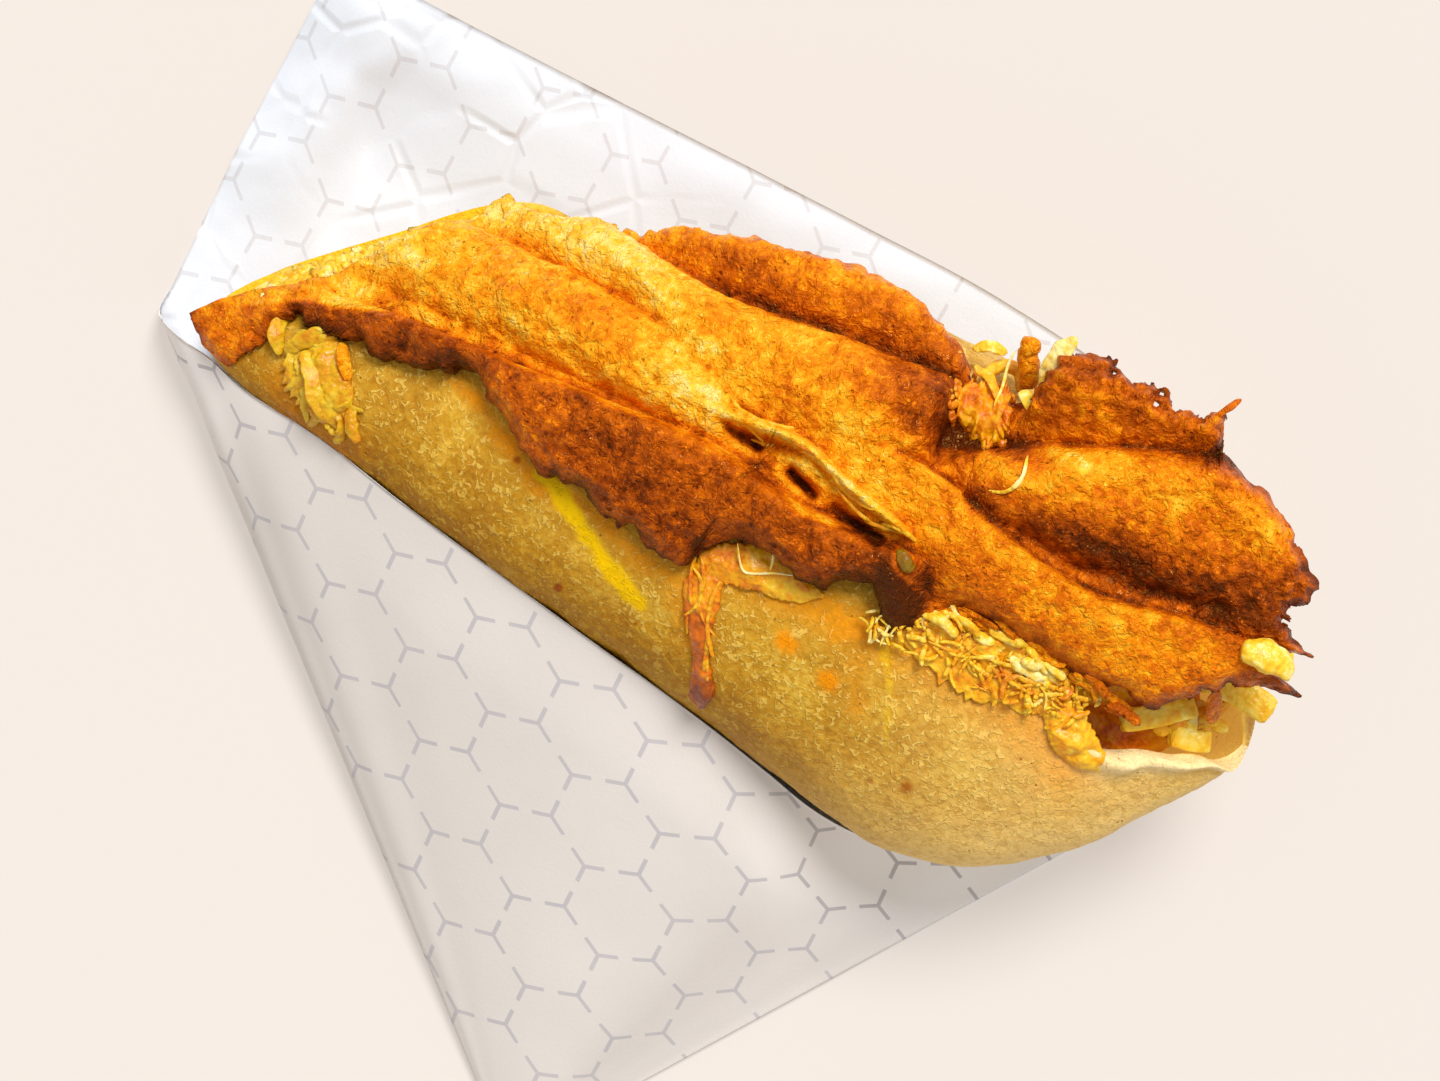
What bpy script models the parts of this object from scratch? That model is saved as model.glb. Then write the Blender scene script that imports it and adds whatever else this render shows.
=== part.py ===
"""A folded cheese crepe in a cone of greaseproof paper, lying on its back.

The roll lies along X, with its folded end at -X and its open end at +X. The paper's tip points to -Y, its
free flap to +Y, and +Z is up. The origin is on the surface that the paper lies on, under the roll's middle.
"""

import bmesh
import bpy
import numpy as np

# Sizes are in millimetres. S runs along the roll from its folded corner, T across it and H up.
MM = 0.001
ORIGIN_S = 104.0
ORIGIN_T = 17.0

# The roll is lofted between a front and a back edge. Each row is one section: the place of its middle along
# the roll, its front edge (S, T), its back edge (S, T), its top and the height of its widest line.
ROLL_SECTIONS = (
    (21.5, -2.0, -2.0, 45.0, 46.0, 21.0, 16.5),
    (34.0, 12.0, -7.2, 56.0, 47.5, 27.0, 16.0),
    (48.0, 30.0, -10.6, 66.0, 49.5, 33.0, 16.0),
    (64.0, 50.0, -14.2, 78.0, 53.0, 39.0, 17.0),
    (84.0, 75.0, -18.4, 93.0, 56.5, 45.0, 20.0),
    (105.0, 100.0, -21.2, 110.0, 58.5, 48.5, 22.5),
    (127.5, 125.0, -24.8, 130.0, 59.0, 51.0, 25.0),
    (150.0, 150.0, -29.2, 150.0, 59.0, 52.0, 27.0),
    (180.0, 180.0, -29.4, 180.0, 61.0, 52.0, 30.0),
    (207.5, 207.5, -29.4, 207.5, 63.0, 51.0, 34.0),
)
ROLL_START = 21.5
ROLL_END = 207.5
ROLL_FLOOR = 1.1
FOLD_LENGTH = 9.0
BOW_START = 150.0
BOW_ROUNDNESS = 1.95
LEAN_START = 95.0
LEAN_END = 185.0
LEAN = 0.11
TOP_ROUNDNESS = 2.4
BOTTOM_ROUNDNESS = 3.2

CREPE_THICKNESS = 2.4
FILLING_GAP = 1.0
CRUST_GAP = 1.0
MELT_GAP = 0.4
SKIN_MM_PER_DEGREE = 0.72
FILLING_STOP = 196.0
MOUTH_HOLLOW = 5.0

CRUST_THICKNESS = 2.0
CRUST_START = 26.2
OVERHANG_START = 138.0
OVERHANG_END = 150.0
OVERHANG_WIDTH = 1.34
OVERHANG_ROUNDNESS = 5.0

PAPER_THICKNESS = 0.6
PAPER_TIP = (121.3, -113.0, 0.6)
PAPER_TIP_END = (0.0, -1.2, -0.2)
CURL_START = 0.82
FLAT_WITHIN = 0.05


def smooth(points):
    """A function through (place, value) points: cubic pieces, each slope the mean of its two neighbours."""
    place, value = np.array(points, float).T
    chord = np.diff(value) / np.diff(place)
    slope = np.concatenate([chord[:1], (chord[1:] + chord[:-1]) / 2, chord[-1:]])

    def at(where):
        where = np.clip(where, place[0], place[-1])
        i = np.clip(np.searchsorted(place, where) - 1, 0, len(place) - 2)
        step = place[i + 1] - place[i]
        f = (where - place[i]) / step
        ends = value[i] * (1 + 2 * f) * (1 - f) ** 2 + value[i + 1] * f * f * (3 - 2 * f)
        return ends + step * (slope[i] * f * (1 - f) ** 2 + slope[i + 1] * f * f * (f - 1))

    return at


def ease(start, end, where):
    """0 before start, 1 after end and a smooth step between."""
    f = np.clip((where - start) / (end - start), 0.0, 1.0)
    return f * f * (3 - 2 * f)


SECTION = [smooth([(row[0], row[k]) for row in ROLL_SECTIONS]) for k in range(1, 7)]


def rails(u):
    """Middle and half-width of the section at u, as (S, T) pairs, with its top and its widest height."""
    front_s, front_t, back_s, back_t, top, waist = (of(u) for of in SECTION)
    middle = ((front_s + back_s) / 2, (front_t + back_t) / 2)
    half = ((back_s - front_s) / 2, (back_t - front_t) / 2)
    return middle, half, top, waist


def lean(u, t, height, middle_t, top):
    """The roll's back leans up towards its open end: a rise that grows with T and with the height."""
    return LEAN * ease(LEAN_START, LEAN_END, u) * (t - middle_t) * height / top


def roll_surface(u, angle, inset=0.0, end_inset=None):
    """A point of the roll, inset below its skin. The angle is 0 at the back, 90 on top and 180 in front."""
    if end_inset is None:
        end_inset = 1.35 * inset
    length = ROLL_END - ROLL_START
    u = ROLL_START + inset + (u - ROLL_START) * (length - inset - end_inset) / length
    (middle_s, middle_t), (half_s, half_t), top, waist = rails(u)
    fold = np.clip(1 - (u - ROLL_START - inset) / FOLD_LENGTH, 0.0, 1.0)
    fold = (1 - fold**3) ** (1 / 3)
    bow = np.clip((u - BOW_START) / (ROLL_END - end_inset - BOW_START), 0.0, 1.0)
    wide = fold * (1 - bow**BOW_ROUNDNESS)
    tall = fold * (1 - bow**3.0)
    across = np.cos(np.radians(angle))
    up = np.sin(np.radians(angle))
    roundness = np.where(up > 0, TOP_ROUNDNESS, BOTTOM_ROUNDNESS)
    across = np.sign(across) * np.abs(across) ** (2 / roundness)
    up = np.sign(up) * np.abs(up) ** (2 / roundness)
    reach = wide * (1 - inset / np.hypot(half_s, half_t)) * across
    rise = np.where(up > 0, top - inset - waist, waist - inset - ROLL_FLOOR)
    s = middle_s + half_s * reach
    t = middle_t + half_t * reach
    h = waist + tall * rise * up
    return np.stack([s, t, h + lean(u, t, h, middle_t, top)], axis=-1)


def section_place(points):
    """The (u, v) of plan points (S, T): the section through each, and the part of its half-width."""
    s, t = np.array(points, float).T
    u = s.copy()
    for _ in range(60):
        (middle_s, middle_t), (half_s, half_t), _, _ = rails(u)
        v = (t - middle_t) / half_t
        u = u + 0.7 * (s - middle_s - v * half_s)
    return u, v


def roof_surface(u, v, offset):
    """A point above the roll's top, offset along the surface's own normal."""

    def bare(u, v):
        (middle_s, middle_t), (half_s, half_t), top, waist = rails(u)
        over = np.where(v > 0, ease(OVERHANG_START, OVERHANG_END, u), 0.0)
        reach = np.abs(v) / (1 + (OVERHANG_WIDTH - 1) * over)
        roundness = TOP_ROUNDNESS + (OVERHANG_ROUNDNESS - TOP_ROUNDNESS) * over
        rise = (1 - np.clip(reach, 0, 0.995) ** roundness) ** (1 / roundness)
        t = middle_t + v * half_t
        h = waist + (top - waist) * rise
        return np.stack([middle_s + v * half_s, t, h + lean(u, t, h, middle_t, top)], axis=-1)

    point = bare(u, v)
    along = bare(u + 0.5, v) - bare(u - 0.5, v)
    across = bare(u, v + 0.01) - bare(u, v - 0.01)
    normal = np.cross(along, across)
    normal /= np.linalg.norm(normal, axis=-1, keepdims=True)
    return point + normal * offset[..., None]


def add_object(name, points, faces, colour, roughness):
    """One closed mesh with its own material, placed in metres round the origin."""
    points = (np.asarray(points) - (ORIGIN_S, ORIGIN_T, 0.0)) * MM
    mesh = bpy.data.meshes.new(name)
    mesh.from_pydata(points.tolist(), [], [list(map(int, face)) for face in faces])
    work = bmesh.new()
    work.from_mesh(mesh)
    bmesh.ops.remove_doubles(work, verts=work.verts, dist=0.00002)
    bmesh.ops.dissolve_degenerate(work, edges=work.edges, dist=0.00002)
    bmesh.ops.triangulate(work, faces=work.faces)
    bmesh.ops.recalc_face_normals(work, faces=work.faces)
    work.to_mesh(mesh)
    work.free()
    mesh.shade_smooth()
    item = bpy.data.objects.new(name, mesh)
    bpy.context.scene.collection.objects.link(item)
    material = bpy.data.materials.new(name)
    material.use_nodes = True
    shader = material.node_tree.nodes["Principled BSDF"]
    shader.inputs["Base Color"].default_value = (*colour, 1.0)
    shader.inputs["Roughness"].default_value = roughness
    shader.inputs["Metallic"].default_value = 0.0
    mesh.materials.append(material)
    return item


def grid_faces(rows, columns, start=0, closed=False):
    """The quads of a grid of points, numbered row by row; closed joins the last column to the first."""
    index = np.arange(rows * columns).reshape(rows, columns) + start
    if closed:
        index = np.column_stack([index, index[:, 0]])
    corners = (index[:-1, :-1], index[1:, :-1], index[1:, 1:], index[:-1, 1:])
    return np.stack([corner.ravel() for corner in corners], axis=1)


def slab(name, upper, lower, colour, roughness):
    """A sheet between two grids of points, with its four edges closed."""
    rows, columns = upper.shape[:2]
    count = rows * columns
    index = np.arange(count).reshape(rows, columns)
    rim = np.concatenate([index[0], index[1:, -1], index[-1, -2::-1], index[-2:0:-1, 0]])
    after = np.roll(rim, -1)
    edges = np.stack([rim, after, after + count, rim + count], axis=1)
    faces = np.concatenate([grid_faces(rows, columns), grid_faces(rows, columns, count)[:, ::-1], edges])
    points = np.concatenate([upper.reshape(-1, 3), lower.reshape(-1, 3)])
    return add_object(name, points, faces, colour, roughness)


# The crepe's upper edges, as angles round the roll: it is open on top, and shut up to a lip at both ends.
CREPE_FRONT = smooth(
    ((21.5, 180), (23, 168), (27, 128), (32, 104), (60, 98), (100, 97), (150, 95), (165, 96), (172, 101.5),
     (177, 107), (182.5, 109.5), (189, 108.5), (195, 111), (199.5, 113), (202.5, 128), (205, 150), (207.5, 180))
)
CREPE_BACK = smooth(((21.5, 0), (24, 14), (32, 42), (60, 40), (150, 36), (175, 24), (195, 8), (207.5, 0)))
LENGTH_STEPS = np.concatenate(
    [ROLL_START + np.array([0, 0.05, 0.5, 1.6, 3.4, 6.0]), np.linspace(31, 160, 24), np.linspace(165, 207.5, 12)]
)


def make_crepe():
    """The flatbread: a boat-shaped sheet from its front edge, round the bottom, to its back edge."""
    f = np.linspace(0, 1, 17)
    u = LENGTH_STEPS[:, None]
    first = CREPE_FRONT(u)
    angle = first + (360 + CREPE_BACK(u) - first) * f
    u = u + 0 * angle
    outer = roll_surface(u, angle)
    inner = roll_surface(u, angle, CREPE_THICKNESS)
    slab("crepe", outer, inner, (0.78, 0.58, 0.26), 0.7)


def make_filling():
    """The cheese filling: it rises to the roll's skin where the crepe is open, and sinks behind the front lip."""
    u = LENGTH_STEPS[:, None]
    deep = CREPE_THICKNESS + FILLING_GAP
    last_inset = ROLL_END - FILLING_STOP
    front, back = CREPE_FRONT(u), CREPE_BACK(u)
    opened = back + 4.5 + (front - back - 9.0) * np.linspace(0, 1, 9)
    covered = front - 1.5 + (363 + back - front) * np.linspace(0, 1, 13)
    angle = np.concatenate([opened, covered], axis=1)
    rise = ease(ROLL_START, 34.0, u) * (1 - ease(150.0, 172.0, u))
    inset = np.concatenate([deep - (deep - 0.1) * rise + 0 * opened, deep + 0 * covered], axis=1)
    sunk = ease(162.0, 172.0, u) * (1 - ease(186.0, 196.0, u)) * (1 - ease(6.0, 18.0, np.abs(angle - front)))
    inset = inset + MOUTH_HOLLOW * sunk
    points = roll_surface(u + 0 * angle, angle, inset, last_inset)
    points[0] = points[0].mean(axis=0)
    points[-1] = points[-1].mean(axis=0)
    rows, columns = angle.shape
    add_object("filling", points.reshape(-1, 3), grid_faces(rows, columns, closed=True), (0.85, 0.62, 0.12), 0.5)


# The crust's outline seen from above, as (S, T) points from the folded end to the open one.
CRUST_FRONT_EDGE = (
    (-1.0, 1.0), (5.0, -3.2), (11.0, -4.2), (15.5, 2.0), (18.0, 9.5), (22.0, 6.7), (33.0, 8.0), (40.0, 8.7),
    (45.0, 10.8), (50.0, 12.8), (58.0, 9.9), (66.0, 5.1), (71.0, 3.2), (85.0, 2.2), (101.0, 0.0),
    (108.0, 2.5), (115.0, 8.7), (121.0, 6.0), (129.5, 9.2), (135.0, 11.5), (139.5, 6.5), (144.0, 12.0),
    (148.0, 18.6), (165.0, 17.0), (176.0, 16.2), (183.0, 14.2), (187.0, 16.2), (190.7, 22.0), (196.5, 26.2),
    (205.7, 28.4),
)
CRUST_BACK_EDGE = (
    (44.5, 44.0), (48.5, 42.2), (55.6, 43.4), (67.6, 46.2), (81.9, 50.0), (98.0, 53.2), (119.5, 55.0),
    (129.0, 55.0), (130.6, 50.6), (133.5, 49.2), (139.0, 49.2), (142.5, 51.5), (145.5, 60.4), (152.7, 64.2),
    (160.3, 62.8), (167.0, 62.3), (170.8, 66.6), (173.0, 58.5), (184.2, 56.6), (188.9, 53.7), (195.6, 49.0),
    (201.3, 46.5),
)
# Each fold of the crust: its line (S, T), its half-width, its height and the length over which it fades out.
CRUST_FOLDS = (
    (((20, 13), (33, 14), (45, 16), (60, 13.5), (75, 11.5), (90, 11), (105, 12.5), (120, 13.5), (134, 14)), 6.0, 6.5),
    (((36, 27), (60, 27.5), (75, 29), (90, 31), (105, 33.5), (126, 34)), 5.5, 4.5),
    (((58, 39.5), (75, 40.5), (90, 39.5), (110, 40), (130, 42)), 4.0, 3.5),
    (((60, 45.5), (80, 49.5), (95, 51.5), (110, 53.5), (129, 54.5)), 3.6, 6.0),
    (((144, 22.5), (165, 22), (180, 23), (200, 27.5)), 4.0, 3.0),
    (((138, 42), (155, 45), (175, 45.5), (190, 45), (201, 43)), 8.0, 6.5),
    (((146, 57), (158, 60), (171, 62)), 3.6, 3.5),
)
FOLD_FADE = 9.0


def fold_relief(s, t):
    """The sum of the folds at a plan point: each is a bell across its line, faded out at both ends."""
    total = 0.0
    for line, width, height in CRUST_FOLDS:
        first, last = line[0][0], line[-1][0]
        present = ease(first - FOLD_FADE, first, s) * (1 - ease(last, last + FOLD_FADE, s))
        total = total + height * present * np.exp(-(((t - smooth(line)(s)) / width) ** 2))
    return total


def make_crust():
    """The fried cheese crust: a pleated sheet on the roll's top, with a ragged edge that overhangs the end."""
    front_u, front_v = section_place(CRUST_FRONT_EDGE)
    back_u, back_v = section_place(CRUST_BACK_EDGE)
    along = np.concatenate([np.linspace(0, 0.585, 28), np.linspace(0.597, 0.70, 11), np.linspace(0.72, 1, 16)])
    along = along[:, None]
    across = np.linspace(0, 1, 23)
    last = 204.2 - 4.6 * across - 3.4 * np.exp(-(((across - 0.42) / 0.16) ** 2))
    first = CRUST_START - 3.6 * (1 - ease(0.0, 0.22, across))
    u = first + along * (last - first)
    low = np.interp(u, front_u, front_v)
    high = np.interp(u, back_u, back_v)
    v = low + across * (high - low)
    (middle_s, middle_t), (half_s, half_t), _, _ = rails(u)
    relief = fold_relief(middle_s + v * half_s, middle_t + v * half_t)
    width = (high - low) * half_t
    border = np.minimum(across, 1 - across) * width
    relief = relief * (0.35 + 0.65 * ease(0.0, 5.0, border))
    hollow = 0.85 * ease(OVERHANG_START, OVERHANG_END, u)
    upper = roof_surface(u, v, CRUST_GAP + CRUST_THICKNESS + relief)
    lower = roof_surface(u, v, CRUST_GAP + hollow * relief)
    slab("cheese_crust", upper, lower, (0.62, 0.24, 0.04), 0.55)


def skin(u, angle, offset):
    """A point above the roll's skin, offset along the skin's own normal."""
    along = roll_surface(u + 0.4, angle) - roll_surface(u - 0.4, angle)
    around = roll_surface(u, angle + 1.0) - roll_surface(u, angle - 1.0)
    normal = np.cross(around, along)
    normal /= np.linalg.norm(normal, axis=-1, keepdims=True)
    return roll_surface(u, angle) + normal * offset[..., None]


def skin_place(points):
    """The (u, angle) on the roll's upper skin that lies under each plan point (S, T)."""
    u, v = section_place(points)
    return u, np.degrees(np.arccos(np.sign(v) * np.abs(v) ** (TOP_ROUNDNESS / 2)))


def make_melt(name, line, half_widths, height, lumps, colour):
    """Melted cheese on the skin: a domed ribbon along a line of plan points, with lumps along it."""
    u_line, angle_line = skin_place(line)
    place = np.arange(len(line), dtype=float)
    along = np.linspace(0, place[-1], 5 * len(line) - 2)[:, None]
    across = np.linspace(-1, 1, 9)
    end = np.minimum(along, place[-1] - along)
    width = smooth(np.column_stack([place, half_widths]))(along) * (0.25 + 0.75 * ease(0, 0.6, end))
    u = smooth(np.column_stack([place, u_line]))(along) + 0 * across
    angle = smooth(np.column_stack([place, angle_line]))(along)
    turn_u, turn_angle = np.gradient(u[:, 0]), np.gradient(angle[:, 0]) * SKIN_MM_PER_DEGREE
    long = np.hypot(turn_u, turn_angle)
    u = u - (turn_angle / long)[:, None] * width * across
    angle = angle + (turn_u / long)[:, None] * width * across / SKIN_MM_PER_DEGREE
    lump = 1 + lumps * np.sin(5.1 * along + 1.3) * np.cos(2.3 * across + 1.7 * along)
    dome = (1 - across**2) ** 0.5 * (0.2 + 0.8 * ease(0, 0.5, end)) * lump
    slab(name, skin(u, angle, MELT_GAP + 0.4 + height * dome), skin(u, angle, MELT_GAP + 0 * u), colour, 0.4)


MELTS = (
    ("cheese_drip", ((105.0, -3.6), (108.5, -10.0), (112.0, -16.0), (114.0, -20.6)), (3.0, 2.2, 2.6, 2.8), 1.6, 0.1),
    ("melted_clump", ((35.0, -4.0), (28.0, -1.5), (23.0, 0.0), (18.5, 2.0)), (5.0, 8.4, 8.0, 4.0), 3.0, 0.25),
    ("melted_fringe", ((147.0, 10.0), (155.0, 9.8), (164.0, 9.2), (171.5, 6.9)), (3.6, 4.4, 4.2, 3.4), 3.0, 0.25),
    ("melted_rim_lump", ((175.0, 4.4), (180.0, 0.6), (185.0, -3.6)), (3.0, 3.6, 3.0), 2.6, 0.2),
)


def make_strip(name, line, width, height):
    """One strip of cheese: a flat oval carried along a bent line of (S, T, H) points, with rounded ends."""
    along = np.linspace(0, 1, 9)
    line = np.array(line, float)
    place = np.linspace(0, 1, len(line))
    middle = np.stack([smooth(np.column_stack([place, line[:, k]]))(along) for k in range(3)], axis=1)
    ahead = np.gradient(middle, axis=0)
    ahead /= np.linalg.norm(ahead, axis=1, keepdims=True)
    side = np.cross(ahead, (0.0, 0.0, 1.0))
    side /= np.linalg.norm(side, axis=1, keepdims=True)
    up = np.cross(side, ahead)
    turn = np.radians(np.arange(0, 360, 45))
    size = (1 - np.abs(2 * along - 1) ** 8) ** 0.5
    ring = side[:, None] * np.cos(turn)[:, None] * width / 2 + up[:, None] * np.sin(turn)[:, None] * height / 2
    points = middle[:, None] + ring * size[:, None, None]
    add_object(name, points.reshape(-1, 3), grid_faces(9, 8, closed=True), (0.90, 0.68, 0.10), 0.4)


STRIPS = (
    ((181.0, 10.4, 44.4), (186.5, 14.2, 42.6), (192.0, 19.0, 41.0)),
    ((189.0, 24.2, 41.6), (196.0, 24.6, 39.6), (205.0, 23.8, 39.8)),
    ((190.4, 12.4, 40.8), (194.0, 13.0, 39.3), (197.6, 14.4, 38.4)),
    ((188.5, 29.2, 42.6), (196.0, 31.2, 40.6), (204.0, 33.2, 41.4)),
)
STRIP_WIDTH = 4.4
STRIP_HEIGHT = 3.2
ONION_LINE = ((132.4, 52.6, 46.2), (134.4, 56.2, 43.6), (137.8, 56.8, 43.6), (139.8, 53.4, 46.0))
ONION_WIDTH = 2.6
ONION_HEIGHT = 2.2


# The paper's edge from above, as (S, T, H) points: along the front panel, then back along the back panel.
PAPER_FRONT_EDGE = (
    (-8.3, 0.8, 0.6), (-7.2, -2.2, 6.0), (-2.5, -4.2, 12.0), (5.0, -5.8, 15.5), (15.0, -8.3, 19.0),
    (30.2, -9.6, 22.5), (50.5, -13.4, 26.5), (74.7, -17.2, 30.0), (90.2, -19.6, 31.5), (106.8, -22.2, 31.5),
    (120.0, -24.7, 30.0), (131.9, -27.2, 27.0), (142.0, -29.6, 22.0), (152.0, -30.4, 15.0), (162.0, -28.9, 9.0),
    (172.0, -25.0, 5.0), (182.0, -18.5, 2.2), (190.3, -12.7, 0.6),
)
PAPER_BACK_EDGE = (
    (190.3, -12.7, 0.6), (197.0, 0.0, 0.6), (201.0, 20.0, 0.6), (193.0, 44.0, 0.6), (177.7, 58.9, 1.2),
    (162.0, 66.1, 2.0), (131.0, 70.6, 2.4), (100.0, 71.2, 2.6), (70.0, 71.2, 3.0), (40.0, 71.0, 4.5),
    (14.0, 70.8, 7.5), (-1.0, 70.6, 9.5), (-6.0, 69.6, 10.0), (-7.0, 64.0, 8.5), (-8.2, 45.0, 3.5),
    (-8.8, 22.0, 1.0), (-8.3, 0.8, 0.6),
)


def edge_curve(points, count):
    """Evenly spaced points on a smooth curve through the given ones."""
    points = np.array(points, float)
    place = np.concatenate([[0], np.cumsum(np.linalg.norm(np.diff(points, axis=0), axis=1))])
    where = np.linspace(0, place[-1], count)
    return np.stack([smooth(np.column_stack([place, points[:, k]]))(where) for k in range(3)], axis=1)


def make_paper():
    """The paper: straight lines from its tip to its edge, with a wall put on outside."""
    front = edge_curve(PAPER_FRONT_EDGE, 46)[:-1]
    back = edge_curve(PAPER_BACK_EDGE, 40)[:-1]
    edge = np.concatenate([front, back])
    curl = np.concatenate([0 * front[:, 2], back[:, 2] - back[0, 2]])
    tip = np.array(PAPER_TIP)
    ray = edge - tip
    ahead = np.roll(edge, -1, axis=0) - np.roll(edge, 1, axis=0)
    normal = np.cross(ahead, ray)
    normal /= np.linalg.norm(normal, axis=1, keepdims=True)
    steps = np.array([0.0, 0.13, 0.3, 0.5, 0.7, 0.82, 0.89, 0.95, 1.0])[:, None, None]
    inner = tip + steps * ray
    inner[..., 2] += (ease(CURL_START, 1.0, steps[..., 0]) - steps[..., 0]) * curl
    inner[..., 2] = np.maximum(inner[..., 2], PAPER_THICKNESS)
    outer = inner + PAPER_THICKNESS * normal
    outer[0] = tip + PAPER_TIP_END
    outer[..., 2] = np.where(outer[..., 2] < FLAT_WITHIN, 0.0, outer[..., 2])
    rows, columns = inner.shape[:2]
    count = rows * columns
    index = np.arange(columns) + (rows - 1) * columns
    after = np.roll(index, -1)
    rim = np.stack([index, after, count + after, count + index], axis=1)
    inside = grid_faces(rows, columns, closed=True)
    outside = grid_faces(rows, columns, count, closed=True)[:, ::-1]
    points = np.concatenate([inner.reshape(-1, 3), outer.reshape(-1, 3)])
    faces = np.concatenate([inside, outside, rim])
    add_object("paper_cone", points, faces, (0.9, 0.88, 0.86), 0.6)


def main():
    for item in list(bpy.data.objects):
        bpy.data.objects.remove(item)
    make_crepe()
    make_filling()
    make_crust()
    for name, line, half_widths, height, lumps in MELTS:
        make_melt(name, line, half_widths, height, lumps, (0.90, 0.66, 0.08))
    for number, line in enumerate(STRIPS, start=1):
        make_strip(f"cheese_strip_{number}", line, STRIP_WIDTH, STRIP_HEIGHT)
    make_strip("onion_curl", ONION_LINE, ONION_WIDTH, ONION_HEIGHT)
    make_paper()


main()
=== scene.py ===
# %% [markdown]
# A cheese crepe is a thin flatbread rolled round melted cheese, with more cheese fried on top until it is a
# brown crust. This one lies in a cone of greaseproof paper. The solids give its size and its main shapes.
# This lesson dresses them: each visible piece is a surface worked out with numpy, and its colours come from
# procedural materials, so nothing here needs a picture.

# %% Load the solids
from itertools import product

import bmesh
import bpy
import numpy as np
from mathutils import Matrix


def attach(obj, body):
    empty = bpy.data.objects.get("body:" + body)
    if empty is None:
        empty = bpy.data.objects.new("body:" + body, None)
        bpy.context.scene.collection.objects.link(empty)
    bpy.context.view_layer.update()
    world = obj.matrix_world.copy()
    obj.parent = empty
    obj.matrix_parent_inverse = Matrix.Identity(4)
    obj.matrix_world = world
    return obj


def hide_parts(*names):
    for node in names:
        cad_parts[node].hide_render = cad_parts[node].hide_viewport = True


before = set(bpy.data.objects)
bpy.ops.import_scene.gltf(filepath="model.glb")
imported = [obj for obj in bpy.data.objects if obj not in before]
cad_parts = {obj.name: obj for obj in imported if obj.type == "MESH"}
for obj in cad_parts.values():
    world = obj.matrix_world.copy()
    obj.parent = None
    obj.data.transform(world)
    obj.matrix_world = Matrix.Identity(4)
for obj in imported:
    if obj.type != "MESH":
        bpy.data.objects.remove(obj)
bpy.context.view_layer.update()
print("solids:", ", ".join(sorted(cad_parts)))

# %% [markdown]
# The whole food is measured in millimetres: S runs along the roll from its folded corner, T across it, and H
# up. The origin lies on the table under the roll. Most lines are drawn through a few points, so the
# first helper is a smooth curve through points. The next ones are soft steps, which fade one thing into
# another, and the last gives directions a length of 1.

# %% Units and curves
MM = 0.001
ORIGIN_S, ORIGIN_T = 104.0, 17.0


def smooth(points):
    """A function through (place, value) points: cubic pieces, each slope the mean of its two neighbours."""
    place, value = np.array(points, float).T
    chord = np.diff(value) / np.diff(place)
    slope = np.concatenate([chord[:1], (chord[1:] + chord[:-1]) / 2, chord[-1:]])

    def at(where):
        where = np.clip(where, place[0], place[-1])
        i = np.clip(np.searchsorted(place, where) - 1, 0, len(place) - 2)
        step = place[i + 1] - place[i]
        f = (where - place[i]) / step
        ends = value[i] * (1 + 2 * f) * (1 - f) ** 2 + value[i + 1] * f * f * (3 - 2 * f)
        return ends + step * (slope[i] * f * (1 - f) ** 2 + slope[i + 1] * f * f * (f - 1))

    return at


def ease(start, end, where):
    """0 before start, 1 after end and a smooth step between."""
    f = np.clip((where - start) / (end - start), 0.0, 1.0)
    return f * f * (3 - 2 * f)


def plateau(rise, fall, where):
    """0, then 1 from the end of the rise to the start of the fall, then 0 again, by soft steps."""
    return ease(*rise, where) * (1 - ease(*fall, where))


def bell(distance, width):
    """A bell of height 1: e to the minus square of the distance over the width."""
    return np.exp(-((distance / width) ** 2))


def unit(vectors):
    """Each vector over its own length."""
    return vectors / np.linalg.norm(vectors, axis=-1, keepdims=True)


print("a soft step, by quarters:", ease(0.0, 1.0, np.linspace(0, 1, 5)).round(2))


# %% [markdown]
# The roll is lofted: each row below is one slanted section, with its front edge, its back edge, its top and
# the height of its widest line. A section is a rounded box, a superellipse, which closes at both ends.
# Everything that lies on the roll is placed by the section u and either the angle round it or the part v of
# its half-width, so it follows the roll whatever its shape.

# %% The roll
ROLL_SECTIONS = (
    (21.5, -2.0, -2.0, 45.0, 46.0, 21.0, 16.5),
    (34.0, 12.0, -7.2, 56.0, 47.5, 27.0, 16.0),
    (48.0, 30.0, -10.6, 66.0, 49.5, 33.0, 16.0),
    (64.0, 50.0, -14.2, 78.0, 53.0, 39.0, 17.0),
    (84.0, 75.0, -18.4, 93.0, 56.5, 45.0, 20.0),
    (105.0, 100.0, -21.2, 110.0, 58.5, 48.5, 22.5),
    (127.5, 125.0, -24.8, 130.0, 59.0, 51.0, 25.0),
    (150.0, 150.0, -29.2, 150.0, 59.0, 52.0, 27.0),
    (180.0, 180.0, -29.4, 180.0, 61.0, 52.0, 30.0),
    (207.5, 207.5, -29.4, 207.5, 63.0, 51.0, 34.0),
)
ROLL_START, ROLL_END = ROLL_SECTIONS[0][0], ROLL_SECTIONS[-1][0]
ROLL_FLOOR = 1.1
FOLD_LENGTH, FOLD_ROUNDNESS = 9.0, 3
BOW_START, BOW_ROUNDNESS, BOW_RISE_ROUNDNESS = 150.0, 1.95, 3.0
END_INSET_SHARE = 1.35
LEAN_START, LEAN_END, LEAN = 95.0, 185.0, 0.11
TOP_ROUNDNESS, BOTTOM_ROUNDNESS = 2.4, 3.2
SECTION = [smooth([(row[0], row[k]) for row in ROLL_SECTIONS]) for k in range(1, 7)]


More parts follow.
